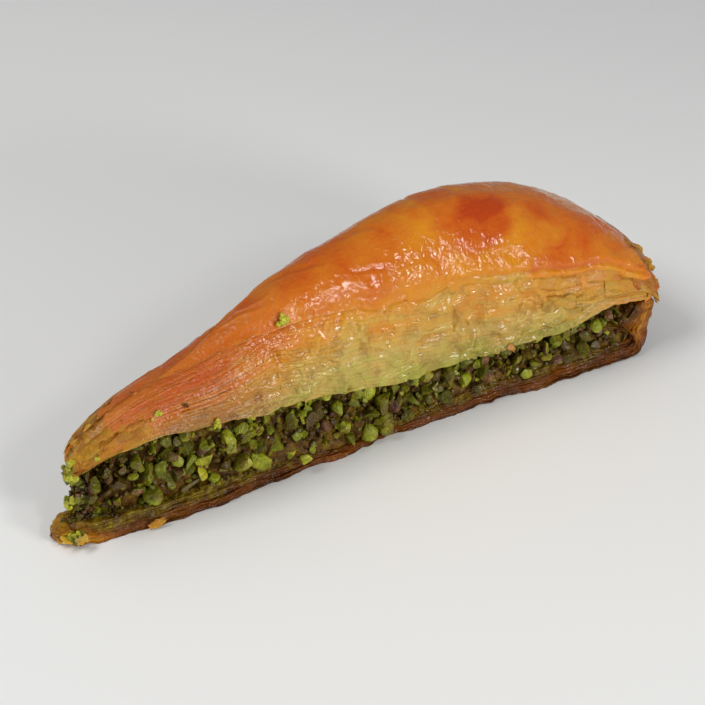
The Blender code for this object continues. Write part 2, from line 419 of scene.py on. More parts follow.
places += outward * np.where(ring_up[:, None] > 0.5, 1.0, 0.15)[..., None] * relief[..., None]
from_tip = np.clip(np.arange(CRUST_COLUMNS) / 9.0, 0.02, 1)
from_top = np.clip(np.arange(CRUST_COLUMNS)[::-1] / 4.0, 0.02, 1)
ends = np.sqrt(1 - (1 - np.minimum(from_tip, from_top)) ** 2)
centre = places.mean(axis=0, keepdims=True)
places = centre + (places - centre) * ends[None, :, None]
crumbling = 1 - fade(places[..., 0], crust_low.x + 3 * MM, crust_low.x + 14 * MM)
shove = np.stack([layered(places, 3.5 * MM, 71 + k) for k in range(3)], -1) * (1.6, 1.3, 0.6)
places += (0.20 + 0.80 * crumbling)[..., None] * shove * MM * np.array([0.7, 1.0, 1.0])
places[..., 1] += 0.25 * MM * layered(places, 1.5 * MM, 75, 2) * np.sign(ring_across)[:, None]
places[..., 0] = np.maximum(places[..., 0], crust_low.x - 1.5 * MM)
places[..., 2] = np.maximum(places[..., 2], 0.0)
crust_s = (places[..., 0] - crust_low.x) / (crust_high.x - crust_low.x)
soak_and_gap_shade = 0.42 + 0.22 * layered(places * (0.5, 1, 1), 6 * MM, 61) + 0.08 * np.sin(marks_stack * 2 * math.pi)
wall = fade(places[..., 2], 2 * MM, 9 * MM)
soak_and_gap_shade += wall * (0.26 - 0.36 * fade(marks_stack, 0.30, 0.85)) + 0.50 * fade(crust_s, 0.10, 0.01)
# Painted shade: the gap mark darkens the recess at the foot of each sheet's edge. The colour is also darker towards the
# bottom of the stack.
soak_and_gap_shade -= 0.18 * np.interp(marks_stack, (0.0, 0.22), (1, 0)) + 0.09 * marks_gap
paste_share = np.interp(crust_s, (0.01, 0.06, 0.30, 0.45, 0.88, 0.95), (0.3, 1, 1, 0.8, 0.7, 0))
paste = paste_share * fade(marks_stack + 0.25 * layered(places, 4 * MM, 65), 0.40, 0.85)
paste += 0.25 * layered(places, 5 * MM, 64)
marks = {"soak_and_gap_shade": soak_and_gap_shade, "paste": np.clip(paste, 0, 1)}
soaked_crust = lay_grid("soaked_crust", [(places, marks)], closed=True)

crust_finish, tree, shader = new_finish("syrup_soaked_crust", 0.25, 0.17, 0.15, 1.5 * MM)
film, bump = use_film(tree, shader, 420.0, 900.0, 0.40, 0.03, 0.60 * MM)
coordinates = add_node(tree, "ShaderNodeTexCoord")
drawn = add_node(tree, "ShaderNodeMapping")
drawn.inputs["Scale"].default_value = (0.12, 1.0, 1.6)
threads = add_node(tree, "ShaderNodeTexNoise", scale=800.0, detail=2.0)
relief = add_node(tree, "ShaderNodeMath", operation="MULTIPLY_ADD")
relief.inputs[1].default_value = 1.1
tree.links.new(coordinates.outputs["Object"], drawn.inputs["Vector"])
tree.links.new(drawn.outputs["Vector"], threads.inputs["Vector"])
tree.links.new(threads.outputs["Fac"], relief.inputs[0])
tree.links.new(film.outputs["Height"], relief.inputs[2])
tree.links.new(relief.outputs["Value"], bump.inputs["Height"])
# This mark carries the syrup's soaking together with the painted shade between the sheets.
soak_and_gap_shade = add_node(tree, "ShaderNodeAttribute", attribute_name="soak_and_gap_shade")
paste = add_node(tree, "ShaderNodeAttribute", attribute_name="paste")
streaks = add_node(tree, "ShaderNodeTexNoise", scale=300.0, detail=5.0, roughness=0.6)
squeeze = add_node(tree, "ShaderNodeMapping")
squeeze.inputs["Scale"].default_value = (0.45, 1.0, 1.4)
vary = add_node(tree, "ShaderNodeMath", operation="MULTIPLY_ADD")
vary.inputs[1].default_value = 0.7
level_out = add_node(tree, "ShaderNodeMath", operation="SUBTRACT")
level_out.inputs[1].default_value = 0.35
browns = colour_ramp(tree, [
    (0.00, (0.022, 0.006, 0.0005)),
    (0.30, (0.070, 0.018, 0.001)),
    (0.55, (0.160, 0.042, 0.002)),
    (0.80, (0.330, 0.115, 0.006)),
    (0.92, (0.480, 0.230, 0.016)),
    (1.00, (0.560, 0.340, 0.050)),
])
olives = colour_ramp(tree, [
    (0.35, (0.055, 0.028, 0.001)),
    (0.50, (0.120, 0.070, 0.003)),
    (0.62, (0.190, 0.135, 0.006)),
    (0.75, (0.330, 0.250, 0.015)),
])
spread = add_node(tree, "ShaderNodeMix", data_type="RGBA")
tree.links.new(coordinates.outputs["Object"], squeeze.inputs["Vector"])
tree.links.new(squeeze.outputs["Vector"], streaks.inputs["Vector"])
tree.links.new(streaks.outputs["Fac"], vary.inputs[0])
tree.links.new(soak_and_gap_shade.outputs["Fac"], vary.inputs[2])
tree.links.new(vary.outputs["Value"], level_out.inputs[0])
tree.links.new(level_out.outputs["Value"], browns.inputs["Fac"])
grains = add_node(tree, "ShaderNodeTexNoise", scale=520.0, detail=4.0, roughness=0.65)
tree.links.new(coordinates.outputs["Object"], grains.inputs["Vector"])
tree.links.new(grains.outputs["Fac"], olives.inputs["Fac"])
tree.links.new(paste.outputs["Fac"], spread.inputs["Factor"])
tree.links.new(browns.outputs["Color"], spread.inputs[6])
tree.links.new(olives.outputs["Color"], spread.inputs[7])
tree.links.new(spread.outputs[2], shader.inputs["Base Color"])
soaked_crust.data.materials.append(crust_finish)
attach(soaked_crust, "root")
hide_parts("bottom_pastry")

# ---- The pistachio filling -------------------------------------------------------------------
# Pistachio kernels chopped to 2 to 5 mm lie two or three deep between the pastries. Syrup and
# nut dust bind them into a dark paste, out of which the green pieces stand.

PASTE_COLUMNS = 320
PASTE_ROWS = 26
PASTE_SETBACK = 2.6 * MM

filling_tree = outline_tree("pistachio_filling")
filling_low, filling_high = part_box("pistachio_filling")


def filling_span(x):
    """The filling's lowest and highest place over the table at x, read along the middle."""
    y = -3.0 * MM * (1 - (x - filling_low.x) / (filling_high.x - filling_low.x))
    low = find_surface(filling_tree, (x, y, -5 * MM), (0, 0, 1), (x, y, 5 * MM))[2]
    high = find_surface(filling_tree, (x, y, 80 * MM), (0, 0, -1), (x, y, 15 * MM))[2]
    return y, low, high


paste_x = np.linspace(filling_low.x + 0.3 * MM, filling_high.x - 0.3 * MM, PASTE_COLUMNS)
paste_span = np.array([filling_span(x) for x in paste_x])
paste_span[:, 1:] = soften(paste_span[:, 1:], 4, 0)
flank_share = np.linspace(0.0, 1.0, PASTE_ROWS)
flanks = {}
for side in (-1, 1):
    found = np.zeros((PASTE_ROWS, PASTE_COLUMNS))
    for column, (x, (y, low, high)) in enumerate(zip(paste_x, paste_span)):
        for row, share in enumerate(flank_share):
            z = low + (high - low) * (0.02 + 0.96 * share)
            found[row, column] = find_surface(filling_tree, (x, y, z), (0, side, 0), (x, y, z))[1]
    flanks[side] = soften(soften(found, 6, 1), 2, 0)


def on_flank(side, x, share):
    """The place on the filling's near (-1) or far (1) side at x and this share of its height."""
    column = np.clip((x - paste_x[0]) / (paste_x[-1] - paste_x[0]), 0, 1) * (PASTE_COLUMNS - 1)
    row = np.clip(share, 0, 1) * (PASTE_ROWS - 1)
    column = np.round(column).astype(int)
    row = np.round(row).astype(int)
    low, high = paste_span[column, 1], paste_span[column, 2]
    return np.stack([x, flanks[side][row, column], low + (high - low) * share], -1)


def share_along(x):
    """How far x is along the slice, from 0 at the tip to 1 at the rim."""
    return (x - cad_box[0][0]) / (cad_box[1][0] - cad_box[0][0])


def ledge_at(x, share):
    """How far the heap stands back near the tip, where the bottom pastry shows as a ledge."""
    return 1.6 * MM * np.interp(share_along(x), (0.20, 0.32), (1, 0)) * np.maximum(0.0, 1 - share * 1.4)


ring = []
for side, shares in ((-1, flank_share), (1, flank_share[::-1])):
    for share in shares:
        flank = on_flank(side, paste_x, np.full(PASTE_COLUMNS, share))
        flank[:, 1] -= side * PASTE_SETBACK * (0.15 + 0.85 * min(share * 2, 1.0))
        flank[:, 1] -= side * ledge_at(paste_x, share)
        ring.append(flank)
paste_places = np.array(ring)
paste_relief = layered(paste_places, 3.6 * MM, 91, 4)
paste_grit = layered(paste_places, 1.7 * MM, 12, 2)
side_sign = np.where(np.arange(len(ring)) < PASTE_ROWS, -1.0, 1.0)[:, None]
paste_places[..., 1] += side_sign * (1.2 * MM * paste_relief + 0.45 * MM * paste_grit)
ends = np.clip(np.minimum(np.arange(PASTE_COLUMNS) / 10.0, np.arange(PASTE_COLUMNS)[::-1] / 4.0), 0.02, 1)
ends = np.sqrt(1 - (1 - ends) ** 2)
centre = paste_places.mean(axis=0, keepdims=True)
paste_places = centre + (paste_places - centre) * ends[None, :, None]
nut_paste = lay_grid("nut_paste", [(paste_places, {"depth": paste_relief})], closed=True)

paste_finish, tree, shader = new_finish("nut_paste", 0.3, 0.10, 0.2, 1.5 * MM)
use_film(tree, shader, 400.0, 1500.0, 0.45, 0.15, 0.35 * MM)
coordinates = add_node(tree, "ShaderNodeTexCoord")
mottle = add_node(tree, "ShaderNodeTexNoise", scale=330.0, detail=4.0, roughness=0.6)
ramp = colour_ramp(tree, [
    (0.32, (0.020, 0.007, 0.001)),
    (0.45, (0.060, 0.024, 0.003)),
    (0.58, (0.125, 0.060, 0.005)),
    (0.72, (0.180, 0.130, 0.008)),
])
tree.links.new(coordinates.outputs["Object"], mottle.inputs["Vector"])
tree.links.new(mottle.outputs["Fac"], ramp.inputs["Fac"])
tree.links.new(ramp.outputs["Color"], shader.inputs["Base Color"])
nut_paste.data.materials.append(paste_finish)
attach(nut_paste, "root")
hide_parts("pistachio_filling")


def chopped_shape(chance, cuts, steps):
    """One chopped piece, about 1 across: a lumpy kernel with flat cuts.

    Returns its points, its triangles, and 1 for each point that still has the kernel's skin.
    """
    sketch = bmesh.new()
    bmesh.ops.create_icosphere(sketch, subdivisions=steps, radius=0.5)
    points = np.array([v.co for v in sketch.verts])
    faces = np.array([[v.index for v in face.verts] for face in sketch.faces])
    sketch.free()
    seed = int(chance.integers(1000))
    points = points * (1 + 0.20 * lumps(points, 0.42, seed) + 0.08 * lumps(points, 0.17, seed + 1))[:, None]
    points *= chance.uniform(0.65, 1.25, size=3)
    skin = np.ones(len(points))
    for _ in range(cuts):
        normal = chance.normal(size=3)
        normal /= np.linalg.norm(normal)
        over = points @ normal - chance.uniform(0.08, 0.30)
        points -= np.maximum(over, 0)[:, None] * normal
        skin *= np.clip(-over * 20 - 0.2, 0, 1)
    points = points * (1 + 0.05 * lumps(points, 0.16, seed + 2))[:, None]
    return points, faces, skin


def random_turn(chance):
    """A rotation in any direction, as a matrix."""
    axis = chance.normal(size=4)
    w, x, y, z = axis / np.linalg.norm(axis)
    return np.array([
        [1 - 2 * (y * y + z * z), 2 * (x * y - z * w), 2 * (x * z + y * w)],
        [2 * (x * y + z * w), 1 - 2 * (x * x + z * z), 2 * (y * z - x * w)],
        [2 * (x * z - y * w), 2 * (y * z + x * w), 1 - 2 * (x * x + y * y)],
    ])


def join_pieces(name, shapes, bits):
    """One mesh from many bits, each (shape number, place, size, turn, tint, husk).

    A bit has its own cell of the UV map, split in six for the six ways that a face can look.
    """
    points, faces, tints, husks, maps = [], [], [], [], []
    total = 0
    cells = math.ceil(math.sqrt(len(bits)))
    for number, (shape, place, size, turn, tint, husk) in enumerate(bits):
        local, triangles, skin = shapes[shape]
        points.append((local * size) @ turn.T + place)
        faces.append(triangles + total)
        total += len(local)
        tints.append(np.full(len(local), tint))
        husks.append(skin * husk)
        corners = local[triangles]
        facing = np.cross(corners[:, 1] - corners[:, 0], corners[:, 2] - corners[:, 0])
        way = np.argmax(np.abs(facing), axis=1)
        negative = np.take_along_axis(facing, way[:, None], 1)[:, 0] < 0
        flat = np.stack([np.where(way == 0, 1, 0), np.where(way == 2, 1, 2)], -1)
        spread = np.take_along_axis(corners, flat[:, None, :], 2) * 0.8 + 0.5
        cell = np.array([number % cells, number // cells], float)
        part = np.stack([way, negative.astype(float)], -1)
        maps.append((cell + (part[:, None, :] + np.clip(spread, 0.04, 0.96)) / (3, 2)) / cells)
    mesh = bpy.data.meshes.new(name)
    mesh.from_pydata(np.vstack(points).tolist(), [], np.vstack(faces).tolist())
    mesh.uv_layers.new(name="OFBake").data.foreach_set("uv", np.vstack(maps).ravel())
    for mark, values in (("tint", tints), ("husk", husks)):
        slot = mesh.attributes.new(mark, "FLOAT", "POINT")
        slot.data.foreach_set("value", np.concatenate(values).astype(np.float32))
    mesh.shade_smooth()
    mesh.set_sharp_from_angle(angle=math.radians(24))
    piece = bpy.data.objects.new(name, mesh)
    bpy.context.scene.collection.objects.link(piece)
    return piece


chance = np.random.default_rng(2031)
nut_shapes = [chopped_shape(chance, 3 + k % 4, 3) for k in range(28)]
bit_shapes = [chopped_shape(chance, 2, 2) for k in range(12)]
crumb_shapes = [chopped_shape(chance, 1, 1) for k in range(12)]


def throw_bits(chance, spots, smallest, largest, spacing, shapes, husky, tinted):
    """Turns places into bits, leaving out any that would lie too close to one already there."""
    bits, taken, sizes = [], np.zeros((0, 3)), np.zeros(0)
    for place in spots:
        by_tip = fade(place[0], filling_low.x + 18 * MM, filling_low.x + 6 * MM)
        by_rim = fade(place[0], filling_high.x - 15 * MM, filling_high.x - 6 * MM)
        size = (smallest + (largest - smallest) * chance.beta(1.5, 2.0)) * (1 - 0.25 * by_tip - 0.25 * by_rim)
        if len(taken) and (np.linalg.norm(taken - place, axis=1) < spacing * (sizes + size)).any():
            continue
        taken = np.vstack([taken, place])
        sizes = np.append(sizes, size)
        husk = 1.0 if chance.random() < husky + (0.85 - husky) * by_rim else 0.0
        tint = float(np.clip(chance.normal(*tinted) - 0.30 * by_tip - 0.25 * by_rim, 0, 1))
        bits.append((chance.integers(len(shapes)), place, size, random_turn(chance), tint, husk))
    return bits


def flank_spots(chance, side, count, nearest, deepest):
    """Random places on one flank of the heap, from nearest to deepest into it."""
    x = chance.uniform(filling_low.x + 1 * MM, filling_high.x - 4 * MM, count)
    share = chance.uniform(0.0, 0.94, count)
    spots = on_flank(side, x, share)
    spots[:, 1] -= side * (chance.uniform(nearest, deepest, count) + ledge_at(x, share))
    return spots


def end_spots(chance, count):
    """Random places on the heap's blunt end at the tip."""
    share = chance.uniform(0.0, 0.9, count)
    x = np.full(count, filling_low.x + 2.0 * MM)
    near, far = on_flank(-1, x, share), on_flank(1, x, share)
    spots = near + (far - near) * chance.uniform(0.1, 0.9, count)[:, None]
    spots[:, 0] += chance.uniform(-1.6 * MM, 0.8 * MM, count)
    return spots


def ledge_spots(chance, side, count):
    """Random places on top of the bottom pastry, beside the heap and out to the tip."""
    column = np.round(CRUST_COLUMNS * (0.02 + 0.84 * chance.beta(1.0, 1.4, count))).astype(int)
    edge = near_edge if side < 0 else far_edge
    inward = chance.beta(1.4, 1.0, count) * 3.6 * MM + 0.9 * MM
    z = spine[column, 1] + thickness[column] - 0.2 * MM
    return np.stack([spine[column, 0], edge[column] - side * inward, z], -1)


def tip_spots(chance, count):
    """Random places on the tip of the bottom pastry, from edge to edge."""
    column = np.round(CRUST_COLUMNS * chance.uniform(0.022, 0.10, count)).astype(int)
    y = near_edge[column] + (far_edge - near_edge)[column] * chance.uniform(0.20, 0.80, count)
    return np.stack([spine[column, 0], y, thickness[column] + chance.uniform(-0.3, 0.5, count) * MM], -1)


nut_bits = []
small_bits = []
crumbs = []
for side in (-1, 1):
    spots = flank_spots(chance, side, 1500, 2.4 * MM, 4.2 * MM)
    nut_bits += throw_bits(chance, spots, 2.8 * MM, 5.4 * MM, 0.42, nut_shapes, 0.5, (0.42, 0.26))
    spots = flank_spots(chance, side, 1500, -0.7 * MM, 1.5 * MM)
    nut_bits += throw_bits(chance, spots, 2.8 * MM, 6.0 * MM, 0.38, nut_shapes, 0.28, (0.56, 0.30))
    spots = flank_spots(chance, side, 2300 if side < 0 else 1300, 0.3 * MM, 2.8 * MM)
    small_bits += throw_bits(chance, spots, 0.9 * MM, 2.8 * MM, 0.44, bit_shapes, 0.4, (0.36, 0.26))
    spots = ledge_spots(chance, side, 560 if side < 0 else 240)
    small_bits += throw_bits(chance, spots, 0.7 * MM, 3.2 * MM, 0.34, bit_shapes, 0.35, (0.26, 0.24))
for side, count in ((-1, 1700), (1, 700)):
    spots = ledge_spots(chance, side, count)
    crumbs += throw_bits(chance, spots, 0.4 * MM, 1.3 * MM, 0.25, crumb_shapes, 0.25, (0.30, 0.30))
spots = tip_spots(chance, 260)
crumbs += throw_bits(chance, spots, 0.4 * MM, 1.3 * MM, 0.25, crumb_shapes, 0.1, (0.55, 0.25))
spots = end_spots(chance, 160)
small_bits += throw_bits(chance, spots, 1.2 * MM, 3.4 * MM, 0.36, bit_shapes, 0.35, (0.42, 0.28))
spots = tip_spots(chance, 200)
small_bits += throw_bits(chance, spots, 0.5 * MM, 2.4 * MM, 0.36, bit_shapes, 0.2, (0.45, 0.25))
pistachio_pieces = join_pieces("pistachio_pieces", nut_shapes, nut_bits)
pistachio_bits = join_pieces("pistachio_bits", bit_shapes, small_bits)
pistachio_crumbs = join_pieces("pistachio_crumbs", crumb_shapes, crumbs)

nut_finish, tree, shader = new_finish("chopped_pistachio", 0.35, 0.32, 0.25, 1.2 * MM)
use_film(tree, shader, 420.0, 1300.0, 0.45, 0.05, 0.40 * MM)
tint = add_node(tree, "ShaderNodeAttribute", attribute_name="tint")
husk = add_node(tree, "ShaderNodeAttribute", attribute_name="husk")
coordinates = add_node(tree, "ShaderNodeTexCoord")
flecks = add_node(tree, "ShaderNodeTexNoise", scale=260.0, detail=5.0, roughness=0.65)
drift = add_node(tree, "ShaderNodeMath", operation="MULTIPLY_ADD")
drift.inputs[1].default_value = 1.1
shift = add_node(tree, "ShaderNodeMath", operation="SUBTRACT")
shift.inputs[1].default_value = 0.55
greens = colour_ramp(tree, [
    (0.00, (0.070, 0.040, 0.004)),
    (0.25, (0.090, 0.085, 0.004)),
    (0.50, (0.155, 0.170, 0.007)),
    (0.78, (0.275, 0.295, 0.012)),
    (1.00, (0.440, 0.420, 0.028)),
])
skins = colour_ramp(tree, [
    (0.35, (0.050, 0.016, 0.010)),
    (0.55, (0.140, 0.050, 0.022)),
    (0.70, (0.230, 0.120, 0.035)),
])
wrap = add_node(tree, "ShaderNodeMix", data_type="RGBA")
smears = add_node(tree, "ShaderNodeTexNoise", scale=170.0, detail=5.0, roughness=0.7)
smear_mask = add_node(tree, "ShaderNodeMapRange")
smear_mask.inputs["From Min"].default_value = 0.44
smear_mask.inputs["From Max"].default_value = 0.62
smear_mask.inputs["To Max"].default_value = 0.85
smear_tone = colour_ramp(tree, [(0.35, (0.040, 0.018, 0.002)), (0.65, (0.160, 0.095, 0.007))])
smeared = add_node(tree, "ShaderNodeMix", data_type="RGBA")
tree.links.new(coordinates.outputs["Object"], smears.inputs["Vector"])
tree.links.new(smears.outputs["Fac"], smear_mask.inputs["Value"])
tree.links.new(flecks.outputs["Fac"], smear_tone.inputs["Fac"])
fresh = add_node(tree, "ShaderNodeMapRange")
fresh.inputs["From Min"].default_value = 1.05
fresh.inputs["From Max"].default_value = 1.25
fresh.inputs["To Min"].default_value = 1.0
fresh.inputs["To Max"].default_value = 0.0
soil = add_node(tree, "ShaderNodeMath", operation="MULTIPLY")
tree.links.new(tint.outputs["Fac"], fresh.inputs["Value"])
tree.links.new(smear_mask.outputs["Result"], soil.inputs[0])
tree.links.new(fresh.outputs["Result"], soil.inputs[1])
tree.links.new(soil.outputs["Value"], smeared.inputs["Factor"])
tree.links.new(coordinates.outputs["Object"], flecks.inputs["Vector"])
tree.links.new(flecks.outputs["Fac"], drift.inputs[0])
tree.links.new(tint.outputs["Fac"], drift.inputs[2])
tree.links.new(drift.outputs["Value"], shift.inputs[0])
tree.links.new(shift.outputs["Value"], greens.inputs["Fac"])
tree.links.new(flecks.outputs["Fac"], skins.inputs["Fac"])
tree.links.new(husk.outputs["Fac"], wrap.inputs["Factor"])
tree.links.new(greens.outputs["Color"], wrap.inputs[6])
tree.links.new(skins.outputs["Color"], wrap.inputs[7])
tree.links.new(wrap.outputs[2], smeared.inputs[6])
tree.links.new(smear_tone.outputs["Color"], smeared.inputs[7])
tree.links.new(smeared.outputs[2], shader.inputs["Base Color"])
for piece in (pistachio_pieces, pistachio_bits, pistachio_crumbs):
    piece.data.materials.append(nut_finish)
    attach(piece, "root")

# ---- The sheets of the top pastry ------------------------------------------------------------
# Some twenty leaves of filo, brushed with butter, that puffed into a dome in the oven. The knife
# has dragged each leaf's edge down over the next, so both cut sides look like lapped boards.

STATIONS = 330
TURNS = 121
STACK_STEPS = 60

top_tree = outline_tree("top_pastry")
top_low, top_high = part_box("top_pastry")
top_length = top_high.x - top_low.x
tip_y = np.mean([v.co.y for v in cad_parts["top_pastry"].data.vertices if v.co.x < top_low.x + 1 * MM])
station_x = np.linspace(top_low.x + 0.2 * MM, top_high.x - 1.3 * MM, STATIONS)
turns = np.linspace(0, math.pi, TURNS)
dome = np.zeros((STATIONS, TURNS, 3))
for station, x in enumerate(station_x):
    guess = tip_y * max(0.0, 1 - (x - top_low.x) / (0.3 * top_length))
    floor = find_surface(top_tree, (x, guess, 0), (0, 0, 1), (x, guess, 17 * MM))[2] + 0.3 * MM
    near = find_surface(top_tree, (x, guess, floor), (0, -1, 0), (x, guess, floor))[1]
    far = find_surface(top_tree, (x, guess, floor), (0, 1, 0), (x, guess, floor))[1]
    heart = (x, (near + far) / 2, floor)
    for number, turn in enumerate(turns):
        dome[station, number] = find_surface(top_tree, heart, (0, -math.cos(turn), math.sin(turn)), heart)
dome = soften(soften(dome, 6, 0), 2, 1)
along = np.gradient(dome, axis=0)
around = np.gradient(dome, axis=1)
dome_out = np.cross(along, around)
dome_out /= np.linalg.norm(dome_out, axis=2, keepdims=True) + 1e-12
crest = dome[:, :, 2].max(axis=1)
foot = dome[:, 0, 2]
stack_turn = {-1: np.zeros((STATIONS, STACK_STEPS)), 1: np.zeros((STATIONS, STACK_STEPS))}
for station in range(STATIONS):
    height = (dome[station, :, 2] - foot[station]) / (crest[station] - foot[station])
    top = int(np.argmax(height))
    steps = np.linspace(0, 1, STACK_STEPS)
    stack_turn[-1][station] = np.interp(steps, np.maximum.accumulate(height[: top + 1]), turns[: top + 1])
    stack_turn[1][station] = np.interp(steps, np.maximum.accumulate(height[top:][::-1]), turns[top:][::-1])


def read_table(table, row, column):
    """Reads a table between its entries, at fractional rows and columns."""
    row = np.clip(row, 0, table.shape[0] - 1.001)
    column = np.clip(column, 0, table.shape[1] - 1.001)
    r, c = row.astype(int), column.astype(int)
    fr, fc = row - r, column - c
    if table.ndim == 3:
        fr, fc = fr[..., None], fc[..., None]
    low = table[r, c] * (1 - fc) + table[r, c + 1] * fc
    high = table[r + 1, c] * (1 - fc) + table[r + 1, c + 1] * fc
    return low * (1 - fr) + high * fr


def station_of(x):
    """The fractional station number at x."""
    return (x - station_x[0]) / (station_x[-1] - station_x[0]) * (STATIONS - 1)


def turn_at(side, x, stack):
    """The turn round the dome at x and this share of its height, on the near or far side."""
    return read_table(stack_turn[side], station_of(x), stack * (STACK_STEPS - 1))


def on_dome(x, turn):
    """The place on the dome at x and turn, and the direction out of it."""
    row, column = station_of(x), turn / math.pi * (TURNS - 1)
    return read_table(dome, row, column), read_table(dome_out, row, column)


def lip_height(s):
    """The share of the stack's height where the skin's cut edge lies, s along the slice."""
    stations = (0.05, 0.18, 0.25, 0.31, 0.36, 0.43, 0.51, 0.59, 0.71, 0.81, 0.90, 0.95, 1.00)
    shares = (1.00, 0.99, 0.95, 0.87, 0.78, 0.67, 0.585, 0.54, 0.50, 0.475, 0.42, 0.30, 0.20)
    return np.interp(s, stations, shares)


def lip_line(x, side):
    """Where the skin's cut edge really runs: the lip's height, made uneven."""
    line = np.stack([x, x * 0 + side * 60 * MM, x * 0], -1)
    return lip_height(share_along(x)) + 0.020 * lumps(line, 9 * MM, 301) + 0.010 * lumps(line, 2.2 * MM, 302)


def swell_of(place):
    """How far the puffed stack bulges out of its smooth shape at a place, in mm."""
    return 0.45 * layered(place, 22 * MM, 306, 2) + 0.42 * layered(place, 11 * MM, 106, 3)


def bake_at(s, stack):
    """How brown the pastry is at this share of the stack: 0 pale green-cream, 1 red-brown."""
    tip = np.interp(stack, (0, 0.15, 0.35, 0.55, 0.75, 0.95), (0.42, 0.52, 0.56, 0.60, 0.65, 0.74))
    left = np.interp(stack, (0, 0.10, 0.25, 0.40, 0.60, 0.85), (0.18, 0.28, 0.38, 0.48, 0.62, 0.76))
    middle = np.interp(stack, (0, 0.08, 0.20, 0.40, 0.55, 0.70), (0.03, 0.11, 0.24, 0.40, 0.53, 0.68))
    back = np.interp(stack, (0, 0.08, 0.20, 0.35, 0.55, 0.70), (0.07, 0.18, 0.35, 0.45, 0.54, 0.64))
    rim = np.interp(stack, (0, 0.10, 0.25, 0.45, 0.60), (0.36, 0.44, 0.50, 0.56, 0.62))
    tone = tip + (left - tip) * fade(s, 0.08, 0.22)
    tone = tone + (middle - tone) * fade(s, 0.24, 0.48)
    tone = tone + (back - tone) * fade(s, 0.58, 0.76)
    return tone + (rim - tone) * fade(s, 0.80, 0.95)


SHEET_COUNT = 20
LAP_STEPS = (
    (0.00, 0.05, 0.00),
    (0.00, 1.00, -0.30),
    (0.14, 1.00, 0.00),
    (0.40, 0.72, 0.00),
    (0.68, 0.42, 0.00),
    (0.94, 0.14, 0.00),
)


